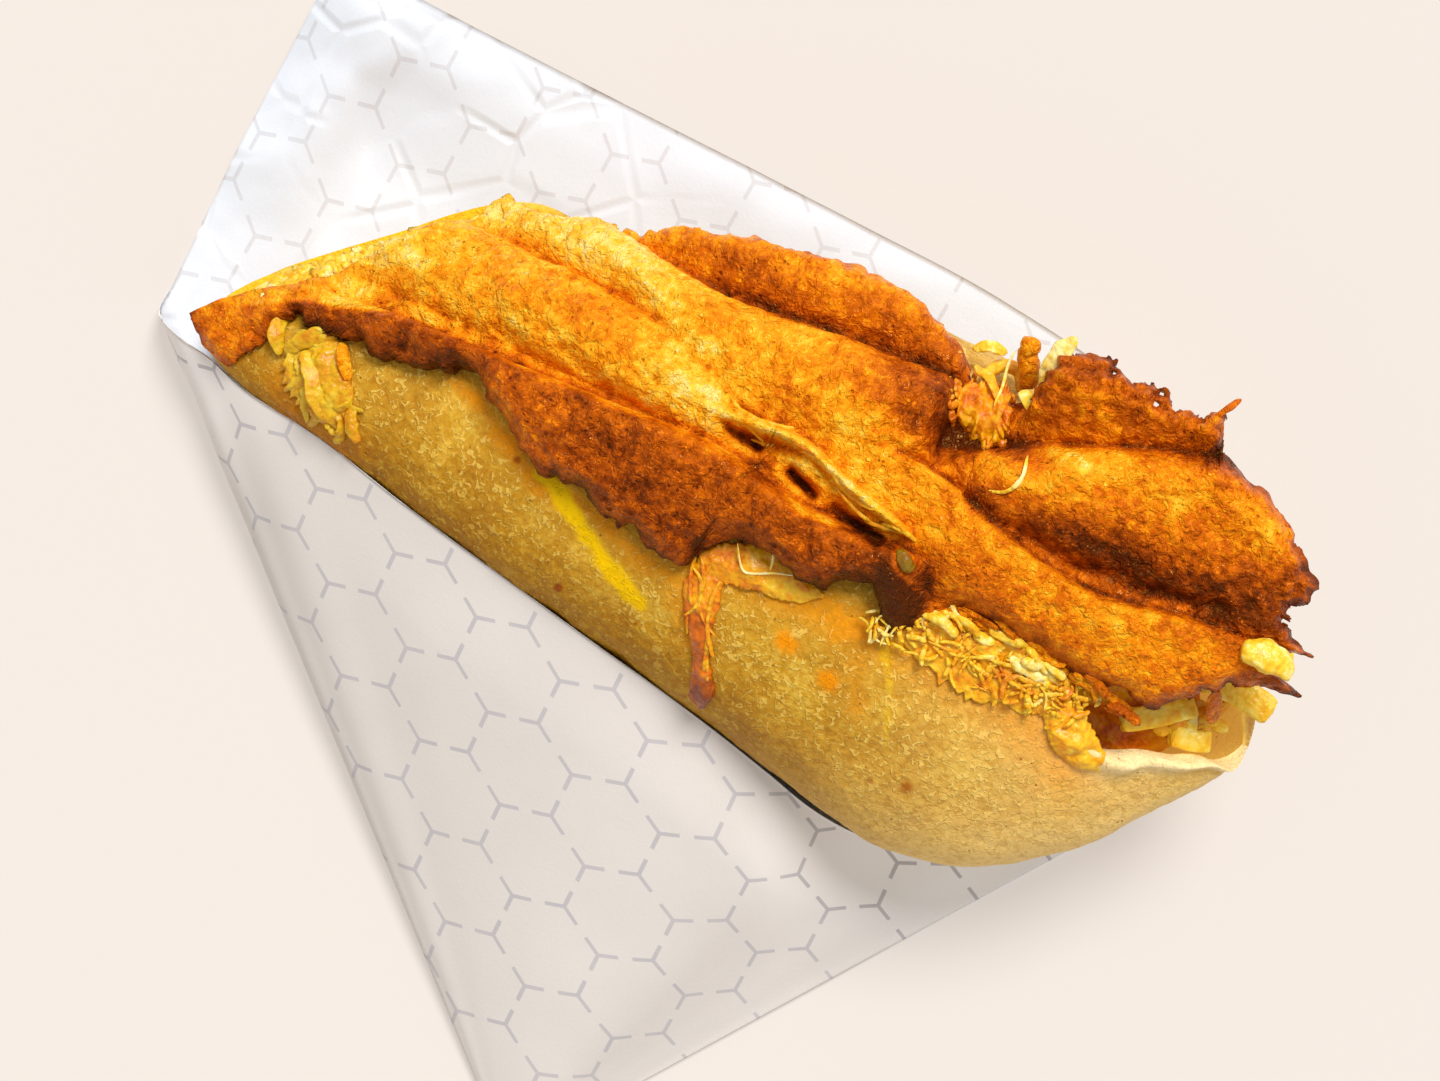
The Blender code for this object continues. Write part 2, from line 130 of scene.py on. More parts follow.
def rails(u):
    """Middle and half-width of the section at u, as (S, T) pairs, with its top and its widest height."""
    front_s, front_t, back_s, back_t, top, waist = (of(u) for of in SECTION)
    middle = ((front_s + back_s) / 2, (front_t + back_t) / 2)
    half = ((back_s - front_s) / 2, (back_t - front_t) / 2)
    return middle, half, top, waist


def lean(u, t, height, middle_t, top):
    """The roll's back leans up towards its open end: a rise that grows with T and with the height."""
    return LEAN * ease(LEAN_START, LEAN_END, u) * (t - middle_t) * height / top


def rounded(wave, roundness):
    """A sine or cosine bent for a superellipse: its sign, times its size to the power 2 / roundness."""
    return np.sign(wave) * np.abs(wave) ** (2 / roundness)


def roll_surface(u, angle, inset=0.0, end_inset=None):
    """A point of the roll, inset below its skin. The angle is 0 at the back, 90 on top and 180 in front."""
    if end_inset is None:
        end_inset = END_INSET_SHARE * inset
    length = ROLL_END - ROLL_START
    u = ROLL_START + inset + (u - ROLL_START) * (length - inset - end_inset) / length
    (middle_s, middle_t), (half_s, half_t), top, waist = rails(u)
    fold = np.clip(1 - (u - ROLL_START - inset) / FOLD_LENGTH, 0.0, 1.0)
    fold = (1 - fold**FOLD_ROUNDNESS) ** (1 / FOLD_ROUNDNESS)
    bow = np.clip((u - BOW_START) / (ROLL_END - end_inset - BOW_START), 0.0, 1.0)
    up = np.sin(np.radians(angle))
    roundness = np.where(up > 0, TOP_ROUNDNESS, BOTTOM_ROUNDNESS)
    across = rounded(np.cos(np.radians(angle)), roundness)
    reach = fold * (1 - bow**BOW_ROUNDNESS) * (1 - inset / np.hypot(half_s, half_t)) * across
    rise = np.where(up > 0, top - inset - waist, waist - inset - ROLL_FLOOR)
    s = middle_s + half_s * reach
    t = middle_t + half_t * reach
    h = waist + fold * (1 - bow**BOW_RISE_ROUNDNESS) * rise * rounded(up, roundness)
    return np.stack([s, t, h + lean(u, t, h, middle_t, top)], axis=-1)


print("top of the roll, mm:", roll_surface(np.array([110.0]), 90.0).round(1))

# %% [markdown]
# The crust lies on a roof over the roll. Past the roll's open end the crust hangs over the opening, so there
# the roof is wider and flatter than the roll. Two more helpers turn plan points into section places and back.

# %% The roof over the roll
OVERHANG_START, OVERHANG_END = 138.0, 150.0
OVERHANG_WIDTH, OVERHANG_ROUNDNESS = 1.34, 5.0
STEEPEST_REACH = 0.995
U_STEP, V_STEP = 0.5, 0.01
PLACE_PASSES, PLACE_SHARE = 60, 0.7


def roof_surface(u, v, offset):
    """A point above the roll's top, offset along the surface's own normal."""

    def bare(u, v):
        (middle_s, middle_t), (half_s, half_t), top, waist = rails(u)
        over = np.where(v > 0, ease(OVERHANG_START, OVERHANG_END, u), 0.0)
        reach = np.abs(v) / (1 + (OVERHANG_WIDTH - 1) * over)
        roundness = TOP_ROUNDNESS + (OVERHANG_ROUNDNESS - TOP_ROUNDNESS) * over
        rise = (1 - np.clip(reach, 0, STEEPEST_REACH) ** roundness) ** (1 / roundness)
        t = middle_t + v * half_t
        h = waist + (top - waist) * rise
        return np.stack([middle_s + v * half_s, t, h + lean(u, t, h, middle_t, top)], axis=-1)

    along = bare(u + U_STEP, v) - bare(u - U_STEP, v)
    across = bare(u, v + V_STEP) - bare(u, v - V_STEP)
    return bare(u, v) + unit(np.cross(along, across)) * offset[..., None]


def section_place(points):
    """The (u, v) of plan points (S, T): the section through each, and the part of its half-width."""
    s, t = np.moveaxis(np.array(points, float), -1, 0)
    u = s.copy()
    for _ in range(PLACE_PASSES):
        (middle_s, middle_t), (half_s, half_t), _, _ = rails(u)
        v = (t - middle_t) / half_t
        u = u + PLACE_SHARE * (s - middle_s - v * half_s)
    return u, v


def plan(u, v):
    """The plan point (S, T) of a section place."""
    (middle_s, middle_t), (half_s, half_t), _, _ = rails(u)
    return middle_s + v * half_s, middle_t + v * half_t


print("roof above the roll, mm:", roof_surface(np.array([110.0]), np.zeros(1), np.zeros(1)).round(1))

# %% [markdown]
# Food is never smooth. Two kinds of relief make its surface: cloudy noise, for lumps and wrinkles, and
# distance to scattered points, for bubbles and pits. Both come from one number per cell of a lattice, mixed
# from the cell's own place, so every run gives the same surface. Most reliefs are sums of noises, written as
# rows of (height, size in millimetres, seed).

# %% Noise
HASHES = (374761393, 1103515245, 2654435761)
SEED_FACTOR, SEED_START, WORD = 668265263, 12345, 0xFFFFFFFF
SEED_SLIDE, ABOVE_ZERO = 0.37, 1000
POINT_SCATTER = 0.45


def lattice(cell, seed):
    """A number from -1 to 1 for each whole-number cell, mixed from its place by products and shifts."""
    mixed = np.full(cell.shape[:-1], (seed * SEED_FACTOR + SEED_START) & WORD, np.uint32)
    for k in range(cell.shape[-1]):
        mixed = (mixed ^ cell[..., k].astype(np.uint32)) * np.uint32(HASHES[k])
        mixed ^= mixed >> np.uint32(15)
    return mixed / 2**31 - 1


def noise(points, size, seed=0):
    """Cloudy relief from -1 to 1: lattice numbers of the given size, blended between the cell's corners."""
    place = np.asarray(points) / size + SEED_SLIDE * seed + ABOVE_ZERO
    cell = np.floor(place).astype(np.int64)
    f = place - cell
    f = f * f * (3 - 2 * f)
    total = 0
    for corner in product((0, 1), repeat=place.shape[-1]):
        weight = np.prod(np.where(corner, f, 1 - f), axis=-1)
        total = total + weight * lattice(cell + np.array(corner), seed)
    return total


def noises(points, *rows):
    """A sum of noises, from rows of (height, size, seed)."""
    return sum(height * noise(points, size, seed) for height, size, seed in rows)


def rough(points, size, octaves=3, seed=0):
    """Noise on noise: each octave has half the size and half the height of the one before."""
    return noises(points, *((0.5**k, size / 2**k, seed + k) for k in range(octaves)))


def spread(points, size, seed=0):
    """Distance, in cell sizes, to the nearest of one scattered point per cell."""
    place = np.asarray(points) / size + ABOVE_ZERO
    cell = np.floor(place).astype(np.int64)
    nearest = np.full(place.shape[:-1], np.inf)
    for step in product((-1, 0, 1), repeat=place.shape[-1]):
        at = cell + np.array(step)
        chance = np.stack([lattice(at, seed + 7 * k) for k in range(place.shape[-1])], axis=-1)
        centre = at + 0.5 + POINT_SCATTER * chance
        nearest = np.minimum(nearest, np.linalg.norm(place - centre, axis=-1))
    return nearest


def line_distance(s, t, line):
    """Distance in plan from each point to a line of (S, T) points."""
    line = np.array(line, float)
    best = np.full(np.shape(s), np.inf)
    for a, b in zip(line[:-1], line[1:]):
        way = b - a
        f = np.clip(((s - a[0]) * way[0] + (t - a[1]) * way[1]) / (way @ way), 0, 1)
        best = np.minimum(best, np.hypot(s - a[0] - f * way[0], t - a[1] - f * way[1]))
    return best


print("cloudy noise along a line:", noise(np.linspace(0.0, 10.0, 5)[:, None], 4.0).round(2))

# %% [markdown]
# A sheet of food has a top, an underside and an edge. Here its top and underside are two grids of points of
# the same shape. Quads join neighbours, the underside gets the same quads turned over, and a wall closes
# every edge that only one quad uses. Leaving quads out of the grid gives holes and a ragged outline.

# %% From grids of points to meshes
def grid_quads(rows, columns, closed=False):
    """The quads of a grid of points, numbered row by row; closed joins the last column to the first."""
    index = np.arange(rows * columns).reshape(rows, columns)
    if closed:
        index = np.column_stack([index, index[:, 0]])
    return np.stack([index[:-1, :-1], index[1:, :-1], index[1:, 1:], index[:-1, 1:]], axis=-1).reshape(-1, 4)


def shell(upper, lower, keep=None):
    """Points and quads of a closed sheet between two grids; keep says which of the grid's quads it has."""
    count = upper[..., 0].size
    faces = grid_quads(*upper.shape[:2])
    if keep is not None:
        faces = faces[keep.ravel()]
    edges = np.concatenate([np.stack([faces[:, k], faces[:, (k + 1) % 4]], axis=1) for k in range(4)])
    alone = ~np.isin(edges[:, 0] * count + edges[:, 1], edges[:, 1] * count + edges[:, 0])
    a, b = edges[alone].T
    walls = np.stack([b, a, a + count, b + count], axis=1)
    points = np.concatenate([upper.reshape(-1, 3), lower.reshape(-1, 3)])
    return points, np.concatenate([faces, faces[:, ::-1] + count, walls])


print("quads of a grid of 3 by 4 points:", len(grid_quads(3, 4)))

# %% [markdown]
# One function makes every visible piece. It moves the points from the food's millimetres to metres, drops the
# points that no quad uses, and turns all quads outwards if the volume that they enclose comes out negative.
# Then it gives each point the numbers that its material reads, and merges points that fall together, which
# closes the poles. At last it hangs the piece on its body and hides the solids that it replaces.

# %% One piece
MERGE_DISTANCE = 1e-6


def add_piece(name, points, faces, finish, replaced=(), values=None, flat=None):
    """One mesh piece: points in millimetres, quads, a material, and the numbers that the material reads."""
    points = (np.asarray(points).reshape(-1, 3) - (ORIGIN_S, ORIGIN_T, 0.0)) * MM
    assert np.isfinite(points).all(), name
    used = np.unique(faces)
    number = np.zeros(len(points), int)
    number[used] = np.arange(len(used))
    points, faces = points[used], number[faces]
    corner = points[faces]
    volume = np.einsum("ij,ij->", np.cross(corner[:, 0], corner[:, 1]), corner[:, 2])
    volume += np.einsum("ij,ij->", np.cross(corner[:, 0], corner[:, 2]), corner[:, 3])
    order = 1 if volume > 0 else -1
    faces = faces[:, ::order]
    mesh = bpy.data.meshes.new(name)
    mesh.vertices.add(len(points))
    mesh.vertices.foreach_set("co", points.ravel())
    mesh.loops.add(faces.size)
    mesh.loops.foreach_set("vertex_index", faces.ravel())
    mesh.polygons.add(len(faces))
    mesh.polygons.foreach_set("loop_start", np.arange(0, faces.size, 4))
    mesh.update(calc_edges=True)
    for key, value in (values or {}).items():
        layer = mesh.attributes.new(key, "FLOAT", "POINT")
        layer.data.foreach_set("value", np.ascontiguousarray(np.ravel(value)[used], np.float32))
    if flat is not None:
        layer = mesh.uv_layers.new(name="flat")
        layer.data.foreach_set("uv", np.ascontiguousarray(flat[:, ::order]).astype(np.float32).ravel())
    work = bmesh.new()
    work.from_mesh(mesh)
    bmesh.ops.remove_doubles(work, verts=work.verts, dist=MERGE_DISTANCE)
    bmesh.ops.dissolve_degenerate(work, edges=work.edges, dist=MERGE_DISTANCE)
    work.to_mesh(mesh)
    work.free()
    mesh.shade_smooth()
    mesh.materials.append(finish)
    piece = bpy.data.objects.new(name, mesh)
    bpy.context.scene.collection.objects.link(piece)
    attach(piece, "root")
    if replaced:
        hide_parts(*replaced)
    triangles = sum(len(face.vertices) - 2 for face in mesh.polygons)
    print(f"{name}: {len(mesh.vertices)} points, {triangles} triangles")
    return piece


print("points are merged within, mm:", MERGE_DISTANCE / MM)

# %% [markdown]
# The camera looks straight down on the food, from 65 cm above the table. Its long lens keeps the far sides
# of the roll out of sight, and it is turned so that the roll runs down to the right, as it is held.

# %% Camera
EYE_S, EYE_T, EYE_H = 104.6, 6.8, 650.0
CAMERA_TURN = 27.0
LENS = 86.8

camera = bpy.data.objects.new("camera", bpy.data.cameras.new("camera"))
camera.location = ((EYE_S - ORIGIN_S) * MM, (EYE_T - ORIGIN_T) * MM, EYE_H * MM)
camera.rotation_euler = (0.0, 0.0, np.radians(CAMERA_TURN))
camera.data.lens = LENS
camera.data.sensor_width = 36.0
camera.data.clip_start = 0.01
bpy.context.scene.collection.objects.link(camera)
bpy.context.scene.camera = camera
print("camera above the table, mm:", EYE_H)

# %% [markdown]
# The light is one wide soft source high behind the food, which gives the crust its glints and the folds their
# shadows, and a warm pale room that fills the shadows. The source is a lamp far away, so the table is evenly
# lit, and its wide disc makes the shadows soft.

# %% Light
KEY_STRENGTH, KEY_WIDTH = 3.05, 24.0
KEY_TILT, KEY_TURN = -34.0, -2.0
KEY_COLOUR = (1.0, 0.99, 0.98)
ROOM_LIGHT = 0.55
ROOM_COLOUR = (1.0, 0.98, 0.96, 1.0)

world = bpy.data.worlds.new("room")
world.use_nodes = True
world.node_tree.nodes["Background"].inputs["Color"].default_value = ROOM_COLOUR
world.node_tree.nodes["Background"].inputs["Strength"].default_value = ROOM_LIGHT
bpy.context.scene.world = world
bpy.context.scene.view_settings.view_transform = "Standard"

key = bpy.data.objects.new("key light", bpy.data.lights.new("key light", "SUN"))
key.data.angle = np.radians(KEY_WIDTH)
key.data.energy = KEY_STRENGTH
key.data.color = KEY_COLOUR
key.rotation_euler = (np.radians(KEY_TILT), 0.0, np.radians(KEY_TURN))
bpy.context.scene.collection.objects.link(key)
print("key light:", KEY_STRENGTH, "from a disc of", KEY_WIDTH, "degrees")

# %% [markdown]
# A material is a small program on the surface. To write it as sums and products, the class Wire stands for
# one number that varies over the surface, and each operator adds a Math node. The class Finish holds one
# material and adds every other node by one method: first its settings, then its sockets.

# %% Materials as expressions
def linear(red, green, blue):
    """A colour of the screen, from 0 to 255, as the linear numbers that a material takes."""
    value = np.array((red, green, blue)) / 255
    return (*np.where(value <= 0.04045, value / 12.92, ((value + 0.055) / 1.055) ** 2.4), 1.0)


class Wire:
    """A node's output; sums and products with it add Math nodes."""

    def __init__(self, finish, socket):
        self.finish = finish
        self.socket = socket

    def math(self, operation, *others):
        return self.finish.math(operation, self, *others)

    def __add__(self, other):
        return self.math("ADD", other)

    def __sub__(self, other):
        return self.math("SUBTRACT", other)

    def __rsub__(self, other):
        return self.finish.math("SUBTRACT", other, self)

    def __mul__(self, other):
        return self.math("MULTIPLY", other)

    def __truediv__(self, other):
        return self.math("DIVIDE", other)

    def __pow__(self, other):
        return self.math("POWER", other)

    __radd__ = __add__
    __rmul__ = __mul__


class Finish:
    """One material: a Principled shader, and the nodes that feed it."""

    def __init__(self, name):
        self.material = bpy.data.materials.new(name)
        self.material.use_nodes = True
        self.tree = self.material.node_tree
        self.shader = self.tree.nodes["Principled BSDF"]
        self.place = self.node("ShaderNodeTexCoord", {}, output="Object")

    def node(self, kind, settings, *values, output=0, **named):
        """Adds a node: its settings are set first, then its sockets, by their order or by their names."""
        node = self.tree.nodes.new(kind)
        for key, value in settings.items():
            if key == "stops":
                ramp = node.color_ramp
                while len(ramp.elements) < len(value):
                    ramp.elements.new(0.5)
                for element, (position, shade) in zip(ramp.elements, value):
                    element.position = position
                    element.color = linear(*shade)
            else:
                setattr(node, key, value)
        for key, value in [*enumerate(values), *named.items()]:
            self.join(node.inputs[key if isinstance(key, int) else key.replace("_", " ")], value)
        return Wire(self, node.outputs[output])

    def math(self, operation, *values):
        return self.node("ShaderNodeMath", {"operation": operation}, *values)

    def parts(self, vector):
        """The three numbers of a vector."""
        split = self.node("ShaderNodeSeparateXYZ", {}, vector).socket.node
        return [Wire(self, socket) for socket in split.outputs]

    def join(self, socket, value):
        if isinstance(value, Wire):
            self.tree.links.new(value.socket, socket)
        elif value is not None:
            socket.default_value = value

    def value(self, name):
        """A number that the mesh carries at each point."""
        return self.node("ShaderNodeAttribute", {"attribute_name": name}, output="Fac")

    def cloud(self, size, detail=3.0, harsh=0.55, twist=0.0, place=None):
        """Noise of a size in millimetres, about 0.5 on average."""
        return self.node("ShaderNodeTexNoise", {}, Vector=place or self.place, Scale=1 / (size * MM),
                         Detail=detail, Roughness=harsh, Distortion=twist, output="Fac")

    def dots(self, size, place=None, feature="F1"):
        """Distance to scattered points of a spacing in millimetres, 0 at a point."""
        return self.node("ShaderNodeTexVoronoi", {"feature": feature}, Vector=place or self.place,
                         Scale=1 / (size * MM), output="Distance")

    def stretched(self, *scale):
        """The place, stretched along the three axes."""
        return self.node("ShaderNodeMapping", {}, Vector=self.place, Scale=scale)

    def step(self, value, low, high, first=0.0, last=1.0):
        """A soft step of a value from one number to another, as it goes from low to high."""
        settings = {"interpolation_type": "SMOOTHSTEP"}
        return self.node("ShaderNodeMapRange", settings, value, low, high, first, last)

    def shades(self, value, *stops):
        """A colour that follows a value through a row of (value, screen colour) stops."""
        return self.node("ShaderNodeValToRGB", {"stops": stops}, value)

    def blend(self, factor, first, second, mode="MIX"):
        """One colour laid over another by a factor."""
        settings = {"data_type": "RGBA", "blend_type": mode}
        node = self.node("ShaderNodeMix", settings, output=2).socket.node
        for place, value in ((0, factor), (6, first), (7, second)):
            self.join(node.inputs[place], value if isinstance(value, (Wire, float)) else linear(*value))
        return Wire(self, node.outputs[2])

    def bump(self, height, depth):
        """A normal for relief whose height of 1 is the depth in millimetres."""
        return self.node("ShaderNodeBump", {}, Strength=1.0, Distance=depth * MM, Height=height)

    def set(self, **sockets):
        """Sets or links the shader's sockets."""
        for key, value in sockets.items():
            self.join(self.shader.inputs[key.replace("_", " ")], value)
        return self.material


print("half grey on the screen, as a material's number:", linear(128, 128, 128)[0].round(3))

# %% [markdown]
# The food lies on a plain pale table. It is one matt square, large enough to fill every view. It glows a
# little, which halves the shadows on it, as the light of a bright room does.

# %% The table
FLOOR_REACH = 3.0
FLOOR_TONE, FLOOR_GLOW = (158, 152, 146), (0.47, 0.43, 0.40, 1.0)

floor_finish = Finish("table").set(
    Base_Color=linear(*FLOOR_TONE), Roughness=0.9, Specular_IOR_Level=0.05,
    Emission_Color=FLOOR_GLOW, Emission_Strength=1.0,
)
floor_corners = [(FLOOR_REACH * x, FLOOR_REACH * y, 0) for x, y in ((-1, -1), (1, -1), (1, 1), (-1, 1))]
floor_mesh = bpy.data.meshes.new("table")
floor_mesh.from_pydata(floor_corners, [], [(0, 1, 2, 3)])
floor_mesh.materials.append(floor_finish)
floor = bpy.data.objects.new("table", floor_mesh)
bpy.context.scene.collection.objects.link(floor)
print("table, metres across:", 2 * FLOOR_REACH)

# %% [markdown]
# The cone is one sheet of greaseproof paper, rolled round its tip. Straight lines run from the tip to its
# edge, so the sheet can be laid out flat again without stretching: each point keeps its distance from the
# tip, and the angles between the lines add up. The print is drawn on that flat layout, so it bends with the
# paper. The back panel lies on the table, its free flap is crumpled, and its corner curls up.

# %% The paper's shape
PAPER_TIP = np.array((121.3, -113.0, 0.6))
PAPER_TIP_END = (0.0, -1.2, -0.2)
PAPER_WALL = 0.6
CURL_START = 0.82
PAPER_FRONT_EDGE = (
    (-8.3, 0.8, 0.6), (-7.2, -2.2, 6.0), (-2.5, -4.2, 12.0), (5.0, -5.8, 15.5), (15.0, -8.3, 19.0),
    (30.2, -9.6, 22.5), (50.5, -13.4, 26.5), (74.7, -17.2, 30.0), (90.2, -19.6, 31.5), (106.8, -22.2, 31.5),
    (120.0, -24.7, 30.0), (131.9, -27.2, 27.0), (142.0, -29.6, 22.0), (152.0, -30.4, 15.0),
    (162.0, -28.9, 9.0), (172.0, -25.0, 5.0), (182.0, -18.5, 2.2), (190.3, -12.7, 0.6),
)
PAPER_BACK_EDGE = (
    (190.3, -12.7, 0.6), (197.0, 0.0, 0.6), (201.0, 20.0, 0.6), (193.0, 44.0, 0.6), (177.7, 58.9, 1.2),
    (162.0, 66.1, 2.0), (131.0, 70.6, 2.4), (100.0, 71.2, 2.6), (70.0, 71.2, 3.0), (40.0, 71.0, 4.5),
    (14.0, 70.8, 7.5), (-1.0, 70.6, 9.5), (-6.0, 69.6, 10.0), (-7.0, 64.0, 8.5), (-8.2, 45.0, 3.5),
    (-8.8, 22.0, 1.0), (-8.3, 0.8, 0.6),
)
PAPER_ROWS = 134
FRONT_COLUMNS, BACK_COLUMNS = 120, 250
ROW_CROWDING = 0.8
PAPER_SHEET = 0.34
PAPER_LEFT, PAPER_BACK = -8.76, 71.24


def curve_through(points, count, place=None):
    """Evenly spaced points on a smooth curve through the given ones, and the place of each among these."""
    points = np.array(points, float)
    place = np.arange(len(points), dtype=float) if place is None else place
    where = np.linspace(0, place[-1], count)
    curve = [smooth(np.column_stack([place, column]))(where) for column in points.T]
    return np.stack(curve, axis=-1), where


def edge_curve(points, count):
    """A smooth curve through the points, spaced by its length, without its last point."""
    lengths = np.linalg.norm(np.diff(np.array(points, float), axis=0), axis=1)
    return curve_through(points, count + 1, np.concatenate([[0], np.cumsum(lengths)]))[0][:-1]


def paper_grid():
    """The inner face and its outward normals: straight lines from the tip, with the corner curled up."""
    front = edge_curve(PAPER_FRONT_EDGE, FRONT_COLUMNS)
    back = edge_curve(PAPER_BACK_EDGE, BACK_COLUMNS)
    edge = np.concatenate([front, back])
    curl = np.concatenate([0 * front[:, 2], back[:, 2] - back[0, 2]])
    ray = edge - PAPER_TIP
    normal = unit(np.cross(np.roll(edge, -1, axis=0) - np.roll(edge, 1, axis=0), ray))
    step = (np.linspace(0, 1, PAPER_ROWS) ** ROW_CROWDING)[:, None]
    inner = PAPER_TIP + step[..., None] * ray
    inner[..., 2] += (ease(CURL_START, 1.0, step) - step) * curl
    inner[..., 2] = np.maximum(inner[..., 2], PAPER_WALL)
    return step, ray, inner, np.broadcast_to(normal, inner.shape)


def laid_out(step, ray):
    """The flat layout: distance from the tip, and the sum of the small angles between the lines."""
    directions = unit(ray)
    turn = np.linalg.norm(np.diff(directions, axis=0, append=directions[:1]), axis=1)
    angle = np.concatenate([[0], np.cumsum(turn)])
    reach = step * np.append(np.linalg.norm(ray, axis=1), np.linalg.norm(ray[0]))
    return np.stack([reach * np.cos(angle), reach * np.sin(angle)], axis=-1)


step, ray, inner, normal = paper_grid()
layout = laid_out(step, ray)
print("flat sheet, mm:", np.ptp(layout[..., 0]).round(), "x", np.ptp(layout[..., 1]).round())

# %% [markdown]
# The free flap behind the food is crumpled. Zigzags in several directions add up to flat facets between sharp
# creases, as in paper that was screwed up and opened again. The front edge is drawn in towards the roll, and
# the sheet gets faint waves. Its two faces are the grid moved out along its normals.

# %% The paper's creases
CREASES = ((12, 26), (58, 19), (101, 14), (141, 22), (77, 9), (163, 11), (35, 7), (122, 6))
FLAP_T, FLAP_SLOPE, FLAP_FADE = 52.0, 0.04, 12.0
CORNER_S, CORNER_FADE = 14.0, 10.0
CREASE_HEIGHT, CREASE_SHARE = 0.25, 0.028
TUCK, LEFT_TUCK, MIDDLE_TUCK = 0.95, 0.3, 1.15
WAVE = 0.16


def crumple(point, step):
    """Relief of the free flap: rows of (direction, length) give zigzags, each strong in places only."""
    s, t = point[..., 0], point[..., 1]
    past = ease(0.0, FLAP_FADE, t - (FLAP_T + FLAP_SLOPE * s))
    past = past + ease(0.0, CORNER_FADE, CORNER_S - s) * ease(18.0, 34.0, t)
    free = np.clip(past, 0, 1) * ease(0.5, 0.75, step)
    at = np.stack([s, t], axis=-1)
    total = 0.2 * np.abs(noise(at, 6.0, 8))
    for k, (turn, length) in enumerate(CREASES):
        along = (s * np.cos(np.radians(turn)) + t * np.sin(np.radians(turn))) / length
        along = along + 0.5 * noise(at, 45.0, 30 + k)
        local = np.clip(0.5 + 0.9 * noise(at, 26.0, 40 + k), 0, 1)
        zigzag = np.abs(along - 2 * np.round(along / 2))
        total = total + (CREASE_HEIGHT + CREASE_SHARE * length) * local * zigzag
    return free * (0.35 + 0.65 * bell(s - 4.0, 44.0)) * total


def paper_faces(step, inner, normal):
    """The inside and the outside: the grid moved out by the wall, the tuck and the waves, then crumpled."""
    s = inner[..., 0]
    tuck = TUCK + LEFT_TUCK * ease(40.0, 80.0, s) + MIDDLE_TUCK * plateau((92.0, 125.0), (152.0, 166.0), s)
    tuck = tuck * ease(0.80, 1.0, step) * plateau((0.0, 8.0), (160.0, 172.0), s)
    tuck[:, FRONT_COLUMNS:] = 0.0
    waves = WAVE * noise(inner, 13.0, 11) * ease(2.0, 6.0, inner[..., 2]) - tuck
    inside = inner + normal * (PAPER_WALL - PAPER_SHEET + waves)[..., None]
    outside = inner + normal * (PAPER_WALL + waves)[..., None]
    outside[0] = PAPER_TIP + PAPER_TIP_END
    inside[0] = inside[0].mean(axis=0)
    rise = crumple(inner, step)
    for face in (inside, outside):
        face[..., 2] += rise
        face[..., 0] = np.maximum(face[..., 0], PAPER_LEFT)
        face[..., 1] = np.minimum(face[..., 1], PAPER_BACK)
    outside[..., 2] = np.maximum(outside[..., 2], 0.0)
    return inside, outside


inside, outside = paper_faces(step, inner, normal)
print("paper, highest point, mm:", outside[..., 2].max().round(1))

# %% [markdown]
# The print is a honeycomb, of which only the corners are drawn: three short strokes that meet in a Y. In
# the shader, the layout is folded into one cell of the pattern. A point is on a stroke where it is close to
# the cell's side, and near enough to one of its corners. The layout comes in units of 100 mm, and its two
# axes are turned and scaled so that a hexagon's side is 1.

# %% The paper's print
LAYOUT_UNIT = 100.0
PRINT_CENTRE = (0.827, 0.306)
PRINT_ACROSS, PRINT_ALONG = (-3.78, 9.62), (8.32, 5.82)
PRINT_START = (1.49, -0.88)
STROKE_LENGTH, STROKE_END = 0.37, 0.01
STROKE_HALF_WIDTH, STROKE_EDGE = 0.038, 0.008
ROOT3 = 3**0.5


def folded(value, period):
    """The value brought into one period, from minus half of it to half."""
    return (value / period).math("FRACT") * period - period / 2


def honeycomb(finish):
    """1 on the strokes of the print: the nearer of two offset grids of cells gives the place in a hexagon."""
    x, y, _ = finish.parts(finish.node("ShaderNodeUVMap", {"uv_map": "flat"}))
    x = x - PRINT_CENTRE[0]
    y = y - PRINT_CENTRE[1]
    side = x * PRINT_ACROSS[0] + y * PRINT_ACROSS[1] + PRINT_START[0]
    rise = x * PRINT_ALONG[0] + y * PRINT_ALONG[1] + PRINT_START[1]
    first = (folded(side, 3.0), folded(rise, ROOT3))
    second = (folded(side + 1.5, 3.0), folded(rise + ROOT3 / 2, ROOT3))
    near_first = first[0] * first[0] + first[1] * first[1]
    near_second = second[0] * second[0] + second[1] * second[1]
    pick = near_first.math("LESS_THAN", near_second)
    across, along = ((a * pick + b * (1 - pick)).math("ABSOLUTE") for a, b in zip(first, second))
    to_side = ROOT3 / 2 - along.math("MAXIMUM", across * (ROOT3 / 2) + along * 0.5)
    to_end = ((across - 1.0) ** 2.0 + along**2.0) ** 0.5
    to_top = ((across - 0.5) ** 2.0 + (along - ROOT3 / 2) ** 2.0) ** 0.5
    stroke = finish.step(to_side, STROKE_HALF_WIDTH + STROKE_EDGE, STROKE_HALF_WIDTH - STROKE_EDGE)
    to_corner = to_end.math("MINIMUM", to_top)
    return stroke * finish.step(to_corner, STROKE_LENGTH + STROKE_END, STROKE_LENGTH - STROKE_END)


print("side of a hexagon, mm:", round(LAYOUT_UNIT / np.hypot(*PRINT_ACROSS), 1))

# %% [markdown]
# Greaseproof paper is not plain white. Its inside is painted cooler and brighter than its outside: the two
# tones are one paper in two lights, the lit flap inside and the panel in shade outside. The outside is
# painted lighter at the folded left end and below the open end, painted light that lifts the shade there, and
# fine cracks show where the flap was crumpled. The mesh carries a number that is 1 on the outer face, so one
# material does both faces.

# %% The paper's finish
# Where the outside gets painted light, and where the flap cracks, in object metres.
LEFT_END, OPEN_END = (-0.075, -0.105), (0.02, 0.05)
BEHIND_CORNER, CRACKED = (-0.075, -0.045), (-0.02, -0.06)


